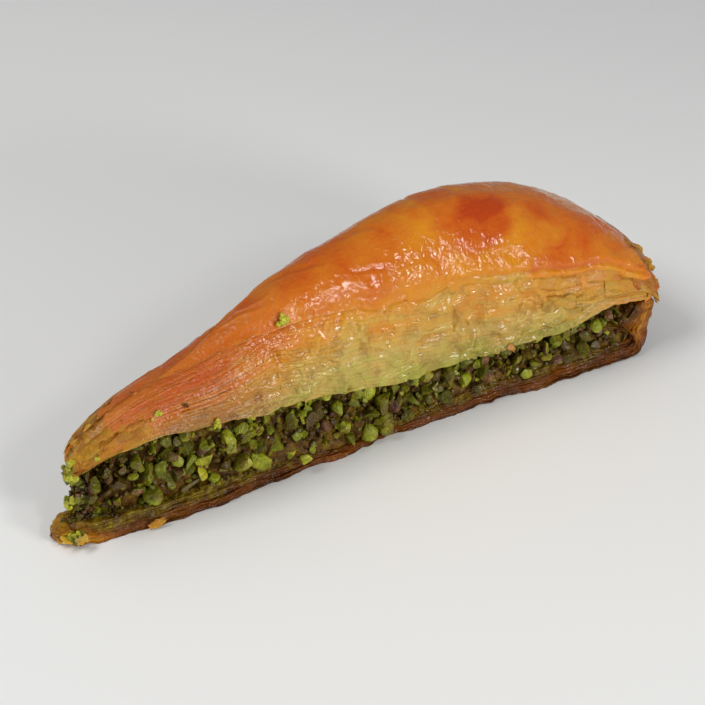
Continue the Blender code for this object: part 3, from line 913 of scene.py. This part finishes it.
def lay_sheets(name, side, columns, seed):
    """One cut side of the top pastry, from under its foot up to where the skin covers it."""
    share = np.linspace(0, 1, columns)
    rows = []
    for sheet in range(SHEET_COUNT):
        for step in LAP_STEPS:
            rows.append((sheet, *step))
    tuck = 7
    places = np.zeros((len(rows) + tuck, columns, 3))
    bake = np.zeros(places.shape[:2])
    crease_shade = np.zeros(places.shape[:2])
    dry = np.zeros(places.shape[:2])
    flow = np.zeros(places.shape)
    for number, (sheet, rise, step, droop) in enumerate(rows):
        level = sheet + rise
        ragged = lumps(np.array([[sheet * 5.0, seed, 0.0]]), 1.0, seed)[0]
        start = station_x[0] + (0.4 + 4.5 * abs(ragged)) * MM
        end = station_x[-1] - (0.2 + 1.5 * abs(ragged)) * MM
        x = start + (end - start) * share
        s = share_along(x)
        calm = np.stack([x, np.full(columns, level * 0.9 * MM), np.zeros(columns)], -1)
        own = np.stack([x, np.full(columns, sheet * 11 * MM), np.zeros(columns)], -1)
        rim = fade(s, 0.80, 0.93)
        tip = fade(s, 0.42, 0.20)
        middle = 1 - np.maximum(tip, rim)
        wave = (1.5 + 0.9 * tip) * lumps(calm * (1, 0.6, 1), 13 * MM, seed + 1) + 0.50 * lumps(calm, 5.5 * MM, seed + 2)
        apart = 0.45 * lumps(own, 7.0 * MM, seed + 3) + 0.14 * lumps(own, 2.2 * MM, seed + 13)
        wave += apart * (1 - 0.9 * middle)
        strength = 0.04 + 0.30 * tip + 0.40 * rim
        strength = strength * (0.10 + 1.4 * (0.5 + 0.5 * lumps(own, 16 * MM, seed + 4)) ** 2)
        strength = strength * (0.6 + 0.8 * (0.5 + 0.5 * lumps(own, 3.0 * MM, seed + 5)))
        reach = lip_height(s) + 0.06
        hang = droop * 0.5 * np.clip((strength - 0.10) / 0.15, 0, 1)
        shut = fade(level, 0, 1.5) * (1 - tip * fade(level, 15, 19.5))
        stack = (level + hang + wave * shut) / SHEET_COUNT * reach
        turn = turn_at(side, x, np.clip(stack, 0, 1))
        place, out = on_dome(x, turn)
        swell = swell_of(place)
        long = np.stack([x, np.full(columns, level * MM) + wave * MM * 0.4, np.zeros(columns)], -1)
        warped = long + 2.2 * MM * np.stack([lumps(long, 6 * MM, seed + 20 + k) for k in range(3)], -1)
        fold = 1 - 2 * np.sqrt(lumps(warped * (0.60, 1.0, 1.0), 4.2 * MM, seed + 7) ** 2 + 0.02)
        pucker = layered(warped * (0.75, 1.0, 1.0), 1.9 * MM, seed + 8, 2)
        pleat = 1 - 2 * np.sqrt(lumps(warped * (1.0, 0.45, 1.0), 3.0 * MM, seed + 14) ** 2 + 0.02)
        pleat = pleat * fade(lumps(long, 8 * MM, seed + 15), -0.1, 0.5)
        fine = 1 - 2 * np.abs(lumps(long * (0.35, 1.4, 1.0), 1.2 * MM, seed + 12))
        crumple = (0.62 * fold + 0.42 * pucker + 0.26 * pleat) * (0.20 + 0.80 * middle) + 0.04 * fine * (1 - middle)
        beads = fade(lumps(warped * (0.7, 1.0, 1.0), 1.5 * MM, seed + 17), 0.10, 0.80)
        beads = beads * fade(layered(warped, 7 * MM, seed + 18, 2), -0.35, 0.45)
        crumple += beads * (0.15 + 0.60 * middle)
        sink = fade(stack, lip_line(x, side) + 0.01, lip_line(x, side) + 0.06)
        out_by = swell + crumple * (1 - 0.7 * sink) + strength * step - 0.35 - 0.9 * sink
        places[number + tuck] = place + out * (out_by * MM)[:, None]
        if sheet == 0:
            frill = layered(np.stack([x, x * 0, x * 0], -1), 4.5 * MM, seed + 9)
            places[number + tuck][:, 2] += (0.7 * MM * frill - 0.3 * MM) * (1 - rise)
        tone = bake_at(s, stack) + 0.05 * lumps(own, 16 * MM, seed + 10) + 0.05 * lumps(own, 4 * MM, seed + 11)
        bake[number + tuck] = tone - 0.10 * crumple * middle + 0.10 * layered(place, 9 * MM, seed + 16)
        # Painted shade: the crease mark darkens the gap under each lap's edge and the hollows of the crumples, and dull
        # darkens the left of the cut and the low sheets towards the rim, more towards the foot.
        dull = 0.35 * tip * fade(stack, 0.95, 0.55) + 0.06 + 0.16 * tip
        dull = (dull + 0.42 * tip * fade(stack, 0.55, 0.15)) * (0.05 + 0.95 * fade(s, 0.05, 0.22))
        dull = dull + fade(s, 0.50, 0.75) * (0.10 + 0.14 * fade(stack, 0.25, 0.05))
        dry[number + tuck] = 0.30 * tip
        crease_shade[number + tuck] = np.clip((1 - step) * strength * 1.2 - 0.16 * crumple * middle + dull, 0, 1)
        flow[number + tuck] = np.stack([x, np.full(columns, level * 0.9 * MM) + wave * MM * 0.5, np.zeros(columns)], -1)
    edge = places[tuck].copy()
    for number in range(tuck):
        inward = (tuck - number) / tuck
        row = edge.copy()
        row[:, 1] -= side * inward * np.minimum(np.abs(edge[:, 1]), 7 * MM)
        row[:, 2] += 0.25 * MM
        places[number] = row
        # Painted shade under the foot: the crease mark darkens the tucked rows, more the further in they lie.
        bake[number] = 0.15
        crease_shade[number] = 0.6 * inward
        flow[number] = flow[tuck]
    inner = int(columns * 0.012)
    ends = np.clip(np.minimum(np.arange(columns), np.arange(columns)[::-1]) / inner, 0, 1)
    ends = 1 - np.sqrt(1 - (1 - ends) ** 2)
    heart = np.interp(share, (0, 1), (tip_y, 0.0))
    places[..., 1] += (heart[None, :] - places[..., 1]) * ends[None, :] * 0.96
    if side > 0:
        places, bake, crease_shade, dry, flow = (table[::-1] for table in (places, bake, crease_shade, dry, flow))
    return lay_grid(name, [(places, {"bake": bake, "crease_shade": crease_shade, "dry": dry, "flow": flow})])


near_sheets = lay_sheets("near_sheets", -1, 700, 100)
far_sheets = lay_sheets("far_sheets", 1, 320, 200)

# Baked pastry: pale and a little green where it steamed over the nuts, cream, then golden, and
# red-brown where the oven reached it.
baked_pastry = bpy.data.node_groups.new("baked_pastry", "ShaderNodeTree")
for socket, kind in (("Bake", "NodeSocketFloat"), ("Crease_Shade", "NodeSocketFloat"), ("Flow", "NodeSocketVector")):
    baked_pastry.interface.new_socket(socket, in_out="INPUT", socket_type=kind)
baked_pastry.interface.new_socket("Color", in_out="OUTPUT", socket_type="NodeSocketColor")
baked_pastry.interface.new_socket("Fibre", in_out="OUTPUT", socket_type="NodeSocketFloat")
pastry_in = baked_pastry.nodes.new("NodeGroupInput")
pastry_out = baked_pastry.nodes.new("NodeGroupOutput")
stretch = add_node(baked_pastry, "ShaderNodeMapping")
stretch.inputs["Scale"].default_value = (0.20, 1.2, 1.0)
fibre = add_node(baked_pastry, "ShaderNodeTexNoise", scale=650.0, detail=4.0, roughness=0.6)
cloud = add_node(baked_pastry, "ShaderNodeTexNoise", scale=110.0, detail=4.0, roughness=0.6)
cloud_place = add_node(baked_pastry, "ShaderNodeTexCoord")
tone = add_node(baked_pastry, "ShaderNodeMath", operation="MULTIPLY_ADD")
tone.inputs[1].default_value = 0.15
tone_two = add_node(baked_pastry, "ShaderNodeMath", operation="MULTIPLY_ADD")
tone_two.inputs[1].default_value = 0.36
tone_three = add_node(baked_pastry, "ShaderNodeMath", operation="SUBTRACT")
tone_three.inputs[1].default_value = 0.255
ramp = colour_ramp(baked_pastry, [
    (0.00, (0.345, 0.325, 0.045)),
    (0.12, (0.420, 0.345, 0.062)),
    (0.26, (0.510, 0.345, 0.078)),
    (0.40, (0.555, 0.300, 0.036)),
    (0.56, (0.600, 0.225, 0.012)),
    (0.70, (0.550, 0.160, 0.012)),
    (0.85, (0.510, 0.100, 0.008)),
    (1.00, (0.420, 0.050, 0.005)),
])
damp = add_node(baked_pastry, "ShaderNodeTexNoise", scale=230.0, detail=3.0, roughness=0.55)
damp_mask = add_node(baked_pastry, "ShaderNodeMapRange")
damp_mask.inputs["From Min"].default_value = 0.46
damp_mask.inputs["From Max"].default_value = 0.72
damp_mask.inputs["To Max"].default_value = 0.80
paleness = add_node(baked_pastry, "ShaderNodeMapRange")
paleness.inputs["From Min"].default_value = 0.55
paleness.inputs["From Max"].default_value = 0.40
damp_pale = add_node(baked_pastry, "ShaderNodeMath", operation="MULTIPLY")
soaked = add_node(baked_pastry, "ShaderNodeMix", data_type="RGBA", blend_type="MULTIPLY")
soaked.inputs[7].default_value = (0.58, 0.50, 0.36, 1.0)
# Painted shade: the crease mark multiplies the colour towards this brown in gaps under leaf edges, in hollows, and over
# the shaded parts of the cut.
shade = add_node(baked_pastry, "ShaderNodeMix", data_type="RGBA", blend_type="MULTIPLY")
shade.inputs[7].default_value = (0.66, 0.36, 0.15, 1.0)
links = baked_pastry.links
links.new(pastry_in.outputs["Flow"], stretch.inputs["Vector"])
links.new(stretch.outputs["Vector"], fibre.inputs["Vector"])
links.new(cloud_place.outputs["Object"], cloud.inputs["Vector"])
links.new(fibre.outputs["Fac"], tone.inputs[0])
links.new(pastry_in.outputs["Bake"], tone.inputs[2])
links.new(cloud.outputs["Fac"], tone_two.inputs[0])
links.new(tone.outputs["Value"], tone_two.inputs[2])
links.new(tone_two.outputs["Value"], tone_three.inputs[0])
links.new(tone_three.outputs["Value"], ramp.inputs["Fac"])
links.new(cloud_place.outputs["Object"], damp.inputs["Vector"])
links.new(damp.outputs["Fac"], damp_mask.inputs["Value"])
links.new(tone_three.outputs["Value"], paleness.inputs["Value"])
links.new(damp_mask.outputs["Result"], damp_pale.inputs[0])
links.new(paleness.outputs["Result"], damp_pale.inputs[1])
links.new(damp_pale.outputs["Value"], soaked.inputs["Factor"])
links.new(ramp.outputs["Color"], soaked.inputs[6])
links.new(soaked.outputs[2], shade.inputs[6])
links.new(pastry_in.outputs["Crease_Shade"], shade.inputs["Factor"])
links.new(shade.outputs[2], pastry_out.inputs["Color"])
links.new(fibre.outputs["Fac"], pastry_out.inputs["Fibre"])


def pastry_finish(name, specular, patch, wrinkle, driest, wettest, depth, scatter, coat):
    """A finish of baked pastry under a wet film, coloured by the marks on the mesh."""
    material, tree, shader = new_finish(name, 0.3, specular, scatter, 2.2 * MM, coat)
    film, bump = use_film(tree, shader, patch, wrinkle, driest, wettest, depth)
    colour = tree.nodes.new("ShaderNodeGroup")
    colour.node_tree = baked_pastry
    dry = add_node(tree, "ShaderNodeAttribute", attribute_name="dry")
    dull = add_node(tree, "ShaderNodeMath", operation="ADD")
    tree.links.new(film.outputs["Roughness"], dull.inputs[0])
    tree.links.new(dry.outputs["Fac"], dull.inputs[1])
    tree.links.new(dull.outputs["Value"], shader.inputs["Roughness"])
    for mark in ("bake", "crease_shade", "flow"):
        source = add_node(tree, "ShaderNodeAttribute", attribute_name=mark)
        output = "Vector" if mark == "flow" else "Fac"
        tree.links.new(source.outputs[output], colour.inputs[mark.title()])
    tree.links.new(colour.outputs["Color"], shader.inputs["Base Color"])
    return material


sheet_finish = pastry_finish("filo_sheets", 0.40, 300.0, 700.0, 0.18, 0.02, 0.50 * MM, 0.5, 0.0)
for piece in (near_sheets, far_sheets):
    piece.data.materials.append(sheet_finish)
    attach(piece, "root")
    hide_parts("top_pastry")

# ---- The skin ---------------------------------------------------------------------------------
# The topmost leaves, fried together by the hot butter into one glossy orange skin. It is drawn
# tight over the dome, wrinkled by the heat, and its cut edge lies over the sheets below.

SKIN_COLUMNS = 520
SKIN_ROWS = 140


def spot(place, centre, reach):
    """1 at a place of the skin (centre and reach in mm), fading to 0 at its reach each way."""
    apart = (place / MM - np.array(centre)) / np.array(reach)
    return np.exp(-((apart**2).sum(axis=-1)))


row_share = np.linspace(0, 1, SKIN_ROWS)[:, None]
torn = np.stack([row_share * 30 * MM, row_share * 0, row_share * 0], -1)
tip_end = station_x[0] + (2.2 + 1.8 * layered(torn, 5 * MM, 340)) * MM
rim_end = station_x[-1] - (0.9 + 0.9 * layered(torn, 4 * MM, 341)) * MM
skin_across = tip_end + (rim_end - tip_end) * np.linspace(0, 1, SKIN_COLUMNS)
near_turn = turn_at(-1, skin_across, lip_line(skin_across, -1))
far_turn = turn_at(1, skin_across, lip_line(skin_across, 1))
skin_turn = near_turn + (far_turn - near_turn) * row_share
smooth, out = on_dome(skin_across, skin_turn)
strip = np.linalg.norm(np.diff(smooth, axis=0), axis=2)
from_near = np.vstack([np.zeros(SKIN_COLUMNS), np.cumsum(strip, axis=0)])
from_far = from_near[-1] - from_near
edge = np.minimum(from_near, from_far) / MM
s = share_along(skin_across)
folded = fade(s, 0.58, 0.70) * fade(s, 0.985, 0.94)
lapped = fade(s, 0.50, 0.30)
emerge = 1.6 + 5.0 * fade(s, 0.70, 0.56)
rise = np.minimum(edge / emerge, 1.0)
roll = 0.26 * np.exp(-(((edge - 4.4) / 1.4) ** 2)) - 0.30 * np.exp(-(((edge - 2.9) / 0.5) ** 2))
roll = roll * (0.9 + 0.7 * lumps(smooth, 8 * MM, 332))
lift = 0.35 * rise - 0.7 * (1 - rise) + folded * (roll - 0.15 + 0.30 * fade(edge, 2.6, 4.4))
long = np.stack([smooth[..., 0] * 0.12, from_near, smooth[..., 0] * 0], -1)
lines = 1 - 2 * np.abs(lumps(long, 1.9 * MM, 305))
swell = swell_of(smooth)
gather = np.stack([smooth[..., 0], from_near * 0.28, smooth[..., 0] * 0], -1)
pleats = (1 - 2 * np.abs(lumps(gather, 2.1 * MM, 330))) * fade(s, 0.40, 0.58)
pleats = pleats * np.exp(-(((edge - 6.5) / 4.5) ** 2)) * 0.5 * (0.4 + 0.6 * np.abs(lumps(smooth, 9 * MM, 331)))
pull = 1 - 2 * np.abs(lumps(smooth * (0.45, 1.0, 1.0), 5.5 * MM, 308))
crinkle = 1 - 2 * np.abs(layered(smooth, 2.4 * MM, 309, 2))
bent = smooth + 3.0 * MM * np.stack([layered(smooth, 9 * MM, 320 + k, 2) for k in range(3)], -1)
draw = np.exp(-((lumps(bent * (0.55, 1.0, 1.0), 7.0 * MM, 312) / 0.10) ** 2))
draw = draw * (0.3 + 0.7 * np.abs(lumps(smooth, 9 * MM, 313))) * (1 - spot(smooth, (31, -8, 47), (9, 8, 8)))
low_skin = np.exp(-edge / 9.0)
overlap = fade(layered(bent * (0.6, 1.0, 1.0), 17 * MM, 335, 2), 0.02, 0.12)
overlap += 0.6 * fade(layered(bent * (0.5, 1.0, 1.0), 10 * MM, 336, 2), 0.12, 0.20)
overlap *= 1 - lapped
out_by = lift + swell + 0.12 * pull + 0.28 * lines * lapped + 0.26 * crinkle * low_skin * fade(s, 0.28, 0.5)
out_by = out_by - 0.32 * draw * (1 - lapped) + 0.06 * crinkle + 0.14 * pleats + 0.14 * overlap
out_by -= 0.6 * fade(s, 0.30, 0.18)
places = smooth + out * (out_by * MM)[..., None]
blotch = layered(smooth, 24 * MM, 311, 3)

tone = 0.74 + 0.17 * blotch - 0.06 * fade(s, 0.70, 0.95) * fade(edge, 2, 5) + 0.08 * fade(s, 0.55, 0.40)
tone += 0.24 * fade(spot(bent, (31, -8, 47), (12, 8, 6)), 0.20, 0.55)
tone += 0.12 * spot(bent, (52, -8, 45), (7, 5, 4))
tone -= folded * (0.20 * fade(edge, 3.2, 2.4) + 0.10 * np.exp(-edge / 7.0))
tone += 0.09 * draw * (1 - lapped) + 0.09 * layered(bent, 7 * MM, 334, 3) + 0.12 * (overlap - 0.5)
lip_tone = bake_at(s, lip_height(s))
blend = np.exp(-((edge / (6.0 + 3.0 * lumps(smooth, 7 * MM, 333))) ** 1.4))
tone = lip_tone + (tone - lip_tone) * (1 - fade(s, 0.74, 0.60) * blend)
tone = tone - (tone - 0.66 + 0.08 * lines) * fade(s, 0.16, 0.03)
bake = tone - 0.05 * lines * lapped
# Painted shade: the crease mark darkens the skin's cut edge, the groove along the fold and the hollows between the
# lines near the tip, over a small even darkening everywhere.
crease_shade = 0.08 + 0.12 * np.exp(-edge / 0.8) * folded + 0.25 * folded * np.exp(-(((edge - 2.6) / 0.45) ** 2))
crease_shade += lapped * (0.10 - 0.16 * lines)
crease_shade = np.clip(crease_shade, 0, 1)
flow = np.stack([smooth[..., 0], from_near, smooth[..., 0] * 0], -1)
ends = np.clip(np.minimum(np.arange(SKIN_COLUMNS), np.arange(SKIN_COLUMNS)[::-1]) / 6.0, 0, 1)
places[..., 2] -= 0.7 * MM * (1 - np.sqrt(1 - (1 - ends) ** 2))
pastry_skin = lay_grid("pastry_skin", [(places, {"bake": bake, "crease_shade": crease_shade, "dry": 0.2 * lapped, "flow": flow})])
skin_finish = pastry_finish("fried_skin", 0.24, 120.0, 640.0, 0.18, 0.03, 0.30 * MM, 0.18, 0.0)
pastry_skin.data.materials.append(skin_finish)
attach(pastry_skin, "root")

# ---- The rim end of the top pastry ------------------------------------------------------------
# The tray's wall pressed the leaves into one curved end. Their browned edges show there as
# ragged lines, and the lowest of them hang a little way down over the wall of the bottom pastry.

RIM_COLUMNS = 260
RIM_SHEETS = 13
RIM_OVERHANG = 3.0 * MM

arc = dome[-1]
rim_y = np.linspace(arc[0, 1] + 0.1 * MM, arc[-1, 1] - 0.1 * MM, RIM_COLUMNS)
rim_line = np.stack([rim_y * 0, rim_y, rim_y * 0], -1)
rim_bow = TRAY_RADIUS - np.sqrt(TRAY_RADIUS**2 - rim_y**2)
rim_top = np.interp(rim_y, arc[:, 1], arc[:, 2]) - 0.2 * MM
rim_low = wall_height - RIM_OVERHANG * (0.7 + 0.6 * layered(rim_line, 6 * MM, 501, 4))
rows = [(0.0, -1.2, 0)]
for sheet in range(RIM_SHEETS):
    rows += [(sheet + rise, step, sheet) for rise, step in ((0.0, 0.1), (0.15, 1.0), (0.55, 0.7), (0.9, 0.3))]
rows.append((RIM_SHEETS, 0.0, RIM_SHEETS))
places = np.zeros((len(rows), RIM_COLUMNS, 3))
bake = np.zeros(places.shape[:2])
crease_shade = np.zeros(places.shape[:2])
flow = np.zeros(places.shape)
for row, (level, step, sheet) in enumerate(rows):
    own = rim_line + np.array([0, 0, sheet * 9 * MM])
    level = level + 0.8 * lumps(rim_line + np.array([0, 0, level * 1.2 * MM]), 7 * MM, 502) * (0 < sheet < RIM_SHEETS)
    share = np.clip(level / RIM_SHEETS, 0, 1)
    ragged = 0.5 + 0.5 * lumps(own, 5 * MM, 503) + 0.4 * lumps(own, 1.6 * MM, 504)
    out = step * 0.55 * np.clip(ragged, 0.05, 1.5)
    height = rim_low + (rim_top - rim_low) * share
    out += 0.7 * layered(np.stack([height * 0, rim_y, height], -1), 7 * MM, 505)
    x = top_high.x - rim_bow + (out - 0.1) * MM - 2.4 * MM * fade(share, 0.72, 1.0) ** 2
    places[row] = np.stack([x, rim_y, height], -1)
    bake[row] = 0.62 + 0.12 * layered(places[row], 9 * MM, 506) + 0.14 * fade(share, 0.35, 0.0)
    # Painted shade: the crease mark darkens the recess under each sheet's ragged edge.
    crease_shade[row] = np.clip(0.40 * (1 - step) * (0.3 + ragged), 0, 0.6)
    flow[row] = np.stack([rim_y, np.full(RIM_COLUMNS, sheet * MM), rim_y * 0], -1)
corner = np.clip(np.minimum(np.arange(RIM_COLUMNS), np.arange(RIM_COLUMNS)[::-1]) / 6.0, 0, 1)
places[..., 0] -= 3.0 * MM * (1 - np.sqrt(1 - (1 - corner) ** 2))
rim_edges = lay_grid("rim_edges", [(places, {"bake": bake, "crease_shade": crease_shade, "dry": 0.1 + 0 * bake, "flow": flow})])
rim_finish = pastry_finish("browned_rim", 0.24, 260.0, 700.0, 0.34, 0.12, 0.35 * MM, 0.35, 0.0)
rim_edges.data.materials.append(rim_finish)
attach(rim_edges, "root")

# ---- Loose leaves -----------------------------------------------------------------------------
# Where the knife caught, leaves of filo tore and lifted: frayed at the tip, in flaps over the
# cut by the rim, and in small points that stand out from the rim. Each is one thin leaf.

LEAF_COLUMNS = 18
LEAF_ROWS = 7
LEAF_THICKNESS = 0.16 * MM


def dome_place(side, x, stack, lift):
    """A place at a lift in mm over the puffed dome, going straight on past its ends."""
    inside = np.clip(x, station_x[0], station_x[-1])
    place, out = on_dome(inside, turn_at(side, inside, np.clip(stack, 0, 1)))
    place = place + out * ((swell_of(place) + lift) * MM)[..., None]
    place[..., 0] += x - inside
    return place


def torn_leaf(side, x, stack, width, lift, bake, seed, drop=0.0):
    """One leaf on the dome, held at its first x and free at its last.

    The stack and the lift are given for both ends, the width in metres. Its lower edge lifts.
    """
    u = np.linspace(0, 1, LEAF_COLUMNS)[None, :]
    v = np.linspace(-1, 1, LEAF_ROWS)[:, None]
    spread = np.stack(np.broadcast_arrays(u * 3.0, v * 1.2, u * 0 + seed), -1)
    ragged = 0.22 * lumps(spread * (0, 1.6, 1), 1.0, 401) + 0.10 * lumps(spread * (0, 5.0, 1), 1.0, 402)
    along = x[0] + (x[1] - x[0]) * u * (1 - np.abs(ragged))
    narrow = (0.72 + 0.28 * np.sqrt(1 - u**2)) * (1 + 0.30 * lumps(spread * (2.2, 0, 1), 1.0, 403))
    height = np.interp(along, station_x, crest - foot)
    level = stack[0] + (stack[1] - stack[0]) * u + v * narrow * width / 2 / height
    rise = lift[0] + (lift[1] - lift[0]) * u**2 + 0.25 * (1 - v) ** 2 / 4 * (0.4 + u)
    rise = rise + 0.30 * lumps(spread * (1.5, 1.5, 1), 1.0, 404) * (0.3 + 0.7 * u)
    top = dome_place(side, along, level, rise)
    top[..., 2] = np.maximum(top[..., 2] - drop * MM * u**2, 0.5 * MM)
    under = dome_place(side, along, level, rise - LEAF_THICKNESS / MM * (1 - v**4) * (1 - u**8))
    under[..., 2] -= drop * MM * u**2
    places = np.vstack([top, under[::-1]])
    if (side < 0) == (x[1] > x[0]):
        places = places[::-1]
    tone = bake + 0.06 * lumps(np.vstack([spread, spread[::-1]]) * (2, 2, 1), 1.0, 405)
    pale = np.vstack([np.abs(v) + u * 0, np.abs(v[::-1]) + u * 0]) ** 6
    flow = np.stack([places[..., 0], places[..., 2], places[..., 1] * 0], -1)
    marks = {"bake": tone + 0.05 * pale, "crease_shade": 0.06 + 0 * tone, "dry": 0.20 + 0 * tone, "flow": flow}
    return places, marks


def curled_flake(place, run, across, curl, bake, seed):
    """One small flake away from the dome: it runs from a place, and its free end curls up."""
    u = np.linspace(0, 1, LEAF_COLUMNS)[None, :, None]
    v = np.linspace(-1, 1, LEAF_ROWS)[:, None, None]
    spread = np.stack(np.broadcast_arrays(u[..., 0] * 3.0, v[..., 0] * 1.2, u[..., 0] * 0 + seed), -1)
    ragged = 1 - 0.30 * np.abs(lumps(spread * (0, 2.0, 1), 1.0, 411))[..., None]
    narrow = (0.75 + 0.25 * np.sqrt(1 - u**2)) * (1 + 0.30 * lumps(spread * (2.2, 0, 1), 1.0, 412))[..., None]
    top = np.array(place) + np.array(run) * u * ragged + np.array(across) / 2 * v * narrow
    top[..., 2] += curl * (u[..., 0] ** 2 + 0.25 * v[..., 0] ** 2) + 0.30 * lumps(spread * 1.6, 1.0, 413)
    top[..., 2] = np.maximum(top[..., 2], 0.3)
    under = top.copy()
    under[..., 2] -= LEAF_THICKNESS / MM * (1 - v[..., 0] ** 4) * (1 - u[..., 0] ** 8)
    places = np.vstack([under, top[::-1]]) * MM
    tone = bake + 0.08 * lumps(np.vstack([spread, spread[::-1]]) * 2, 1.0, 414)
    flow = np.stack([places[..., 0], places[..., 2], places[..., 1] * 0], -1)
    return places, {"bake": tone, "crease_shade": 0.06 + 0 * tone, "dry": 0.10 + 0 * tone, "flow": flow}


chance = np.random.default_rng(77)
leaves = []
for side in (-1, 1):
    for _ in range(9):
        start = station_x[0] + chance.uniform(7, 20) * MM
        reach = chance.uniform(7, 16) * MM
        end = max(start - reach, station_x[0] + chance.uniform(-0.6, 2.5) * MM)
        level = chance.uniform(0.10, 0.98)
        width = chance.uniform(2.6, 5.5) * MM
        lift = (-0.2, chance.uniform(0.1, 0.5 if side < 0 else 0.2))
        bake = chance.uniform(0.54, 0.70)
        leaves.append(torn_leaf(side, (start, end), (level, level - 0.05), width, lift, bake, len(leaves), 0.1))
    for _ in range(7):
        start = chance.uniform(44, 70) * MM
        end = min(start + chance.uniform(8, 22) * MM, station_x[-1] + chance.uniform(-1.5, 0.3) * MM)
        level = chance.uniform(0.12, 0.50)
        width = chance.uniform(2.0, 4.2) * MM
        lift = (-0.15, chance.uniform(0.0, 0.4))
        bake = float(bake_at(0.9, level)) + chance.uniform(-0.02, 0.10)
        leaves.append(torn_leaf(side, (start, end), (level, level - 0.03), width, lift, bake, len(leaves)))
    for _ in range(16):
        start = station_x[-1] - chance.uniform(3, 9) * MM
        end = station_x[-1] + chance.uniform(-0.5, 1.8) * MM
        level = chance.uniform(0.25, 1.0)
        width = chance.uniform(2.4, 5.5) * MM
        lift = (0.1, chance.uniform(0.4, 1.5))
        bake = chance.uniform(0.58, 0.78)
        leaves.append(torn_leaf(side, (start, end), (level, level - 0.05), width, lift, bake, len(leaves), 0.5))
for number in range(24):
    side = (-1, 1)[number % 2]
    start = station_x[-1] - chance.uniform(2, 5) * MM
    end = station_x[-1] + chance.uniform(0.2, 1.5) * MM
    level = chance.uniform(0.03, 0.75)
    width = chance.uniform(2.0, 4.5) * MM
    bake = chance.uniform(0.58, 0.82)
    drop = chance.uniform(1.5, 6)
    leaves.append(torn_leaf(side, (start, end), (level, level - 0.05), width, (0.2, 1.0), bake, len(leaves), drop))
PEELED_FLAKES = (
    ((-62.0, -10.9, 0.9), (4.5, -1.0, 1.0), (-0.3, 0.7, 1.3), 0.4, 0.60),
    ((36.0, -17.7, 16.4), (2.0, -0.8, -2.2), (1.3, 0.1, 0.9), 0.3, 0.66),
    ((-78.5, -6.5, 2.2), (-3.0, 0.8, 0.2), (0.8, 2.6, 0.4), 0.8, 0.40),
    ((-76.0, -8.4, 3.0), (-3.6, -0.6, -0.4), (0.3, 1.6, 1.0), 0.6, 0.34),
    ((-77.5, -1.0, 3.6), (-3.4, 0.2, -0.6), (0.3, 2.8, 0.2), 0.9, 0.30),
    ((-79.5, -3.8, 1.6), (-2.4, -0.8, -0.2), (0.3, 2.2, 0.3), 0.5, 0.46),
)
for place, run, across, curl, bake in PEELED_FLAKES:
    leaves.append(curled_flake(place, run, across, curl, bake, len(leaves)))
loose_leaves = lay_grid("loose_leaves", leaves, closed=True)
leaf_finish = pastry_finish("torn_leaves", 0.26, 260.0, 700.0, 0.30, 0.10, 0.30 * MM, 0.5, 0.0)
loose_leaves.data.materials.append(leaf_finish)
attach(loose_leaves, "root")

# ---- Bits of nut on the pastry ----------------------------------------------------------------
# The cook strewed ground pistachio, and some of it sticks in the syrup: a few single bits on the
# skin and the cut sides, and small clumps at the tip, where the syrup runs together.

SINGLE_BITS = (
    (-23.4, 0.854, 3.0, 1.25), (-43.9, 0.00, 2.8, 1.40), (-50.1, 0.56, 1.6, -1.0),
    (-71.4, 0.22, 2.0, 1.45), (-57.2, 0.60, 2.0, 1.45), (-58.6, 0.55, 1.2, 1.45),
    (-77.4, 0.45, 3.0, 1.10), (-78.0, 0.10, 2.4, 1.20), (-77.0, 0.80, 2.0, 1.20),
)
CLUMPS = (
    ((-76.6, -4.2, 18.6), (1.5, 2.4, 2.2), 46),
    ((-76.2, -2.0, 8.6), (1.2, 2.4, 2.0), 34),
    ((-78.0, -6.2, 2.8), (1.8, 1.6, 0.8), 22),
)
chance = np.random.default_rng(913)
cling = []
for x, level, size, tint in SINGLE_BITS:
    heart = dome_place(-1, np.array([x * MM]), np.array([level]), 0.3)[0]
    for number in range(int(size * 3)):
        off = chance.normal(size=3) * (0.45, 0.25, 0.45) * size * 0.42 * MM
        bit = size * MM * chance.uniform(0.35, 0.62)
        shade_of = tint + chance.normal() * 0.08
        cling.append((chance.integers(12), heart + off, bit, random_turn(chance), shade_of, float(tint < 0)))
for centre, reach, count in CLUMPS:
    for number in range(count):
        way = chance.normal(size=3)
        way *= chance.uniform(0.2, 1.0) ** 0.5 / np.linalg.norm(way)
        place = (np.array(centre) + way * np.array(reach)) * MM
        size = chance.uniform(0.7, 2.1) * MM
        shade_of = 0.90 + chance.normal() * 0.30
        cling.append((chance.integers(12), place, size, random_turn(chance), shade_of, 0.0))
clinging_bits = join_pieces("clinging_bits", bit_shapes, cling)
clinging_bits.data.materials.append(nut_finish)
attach(clinging_bits, "root")
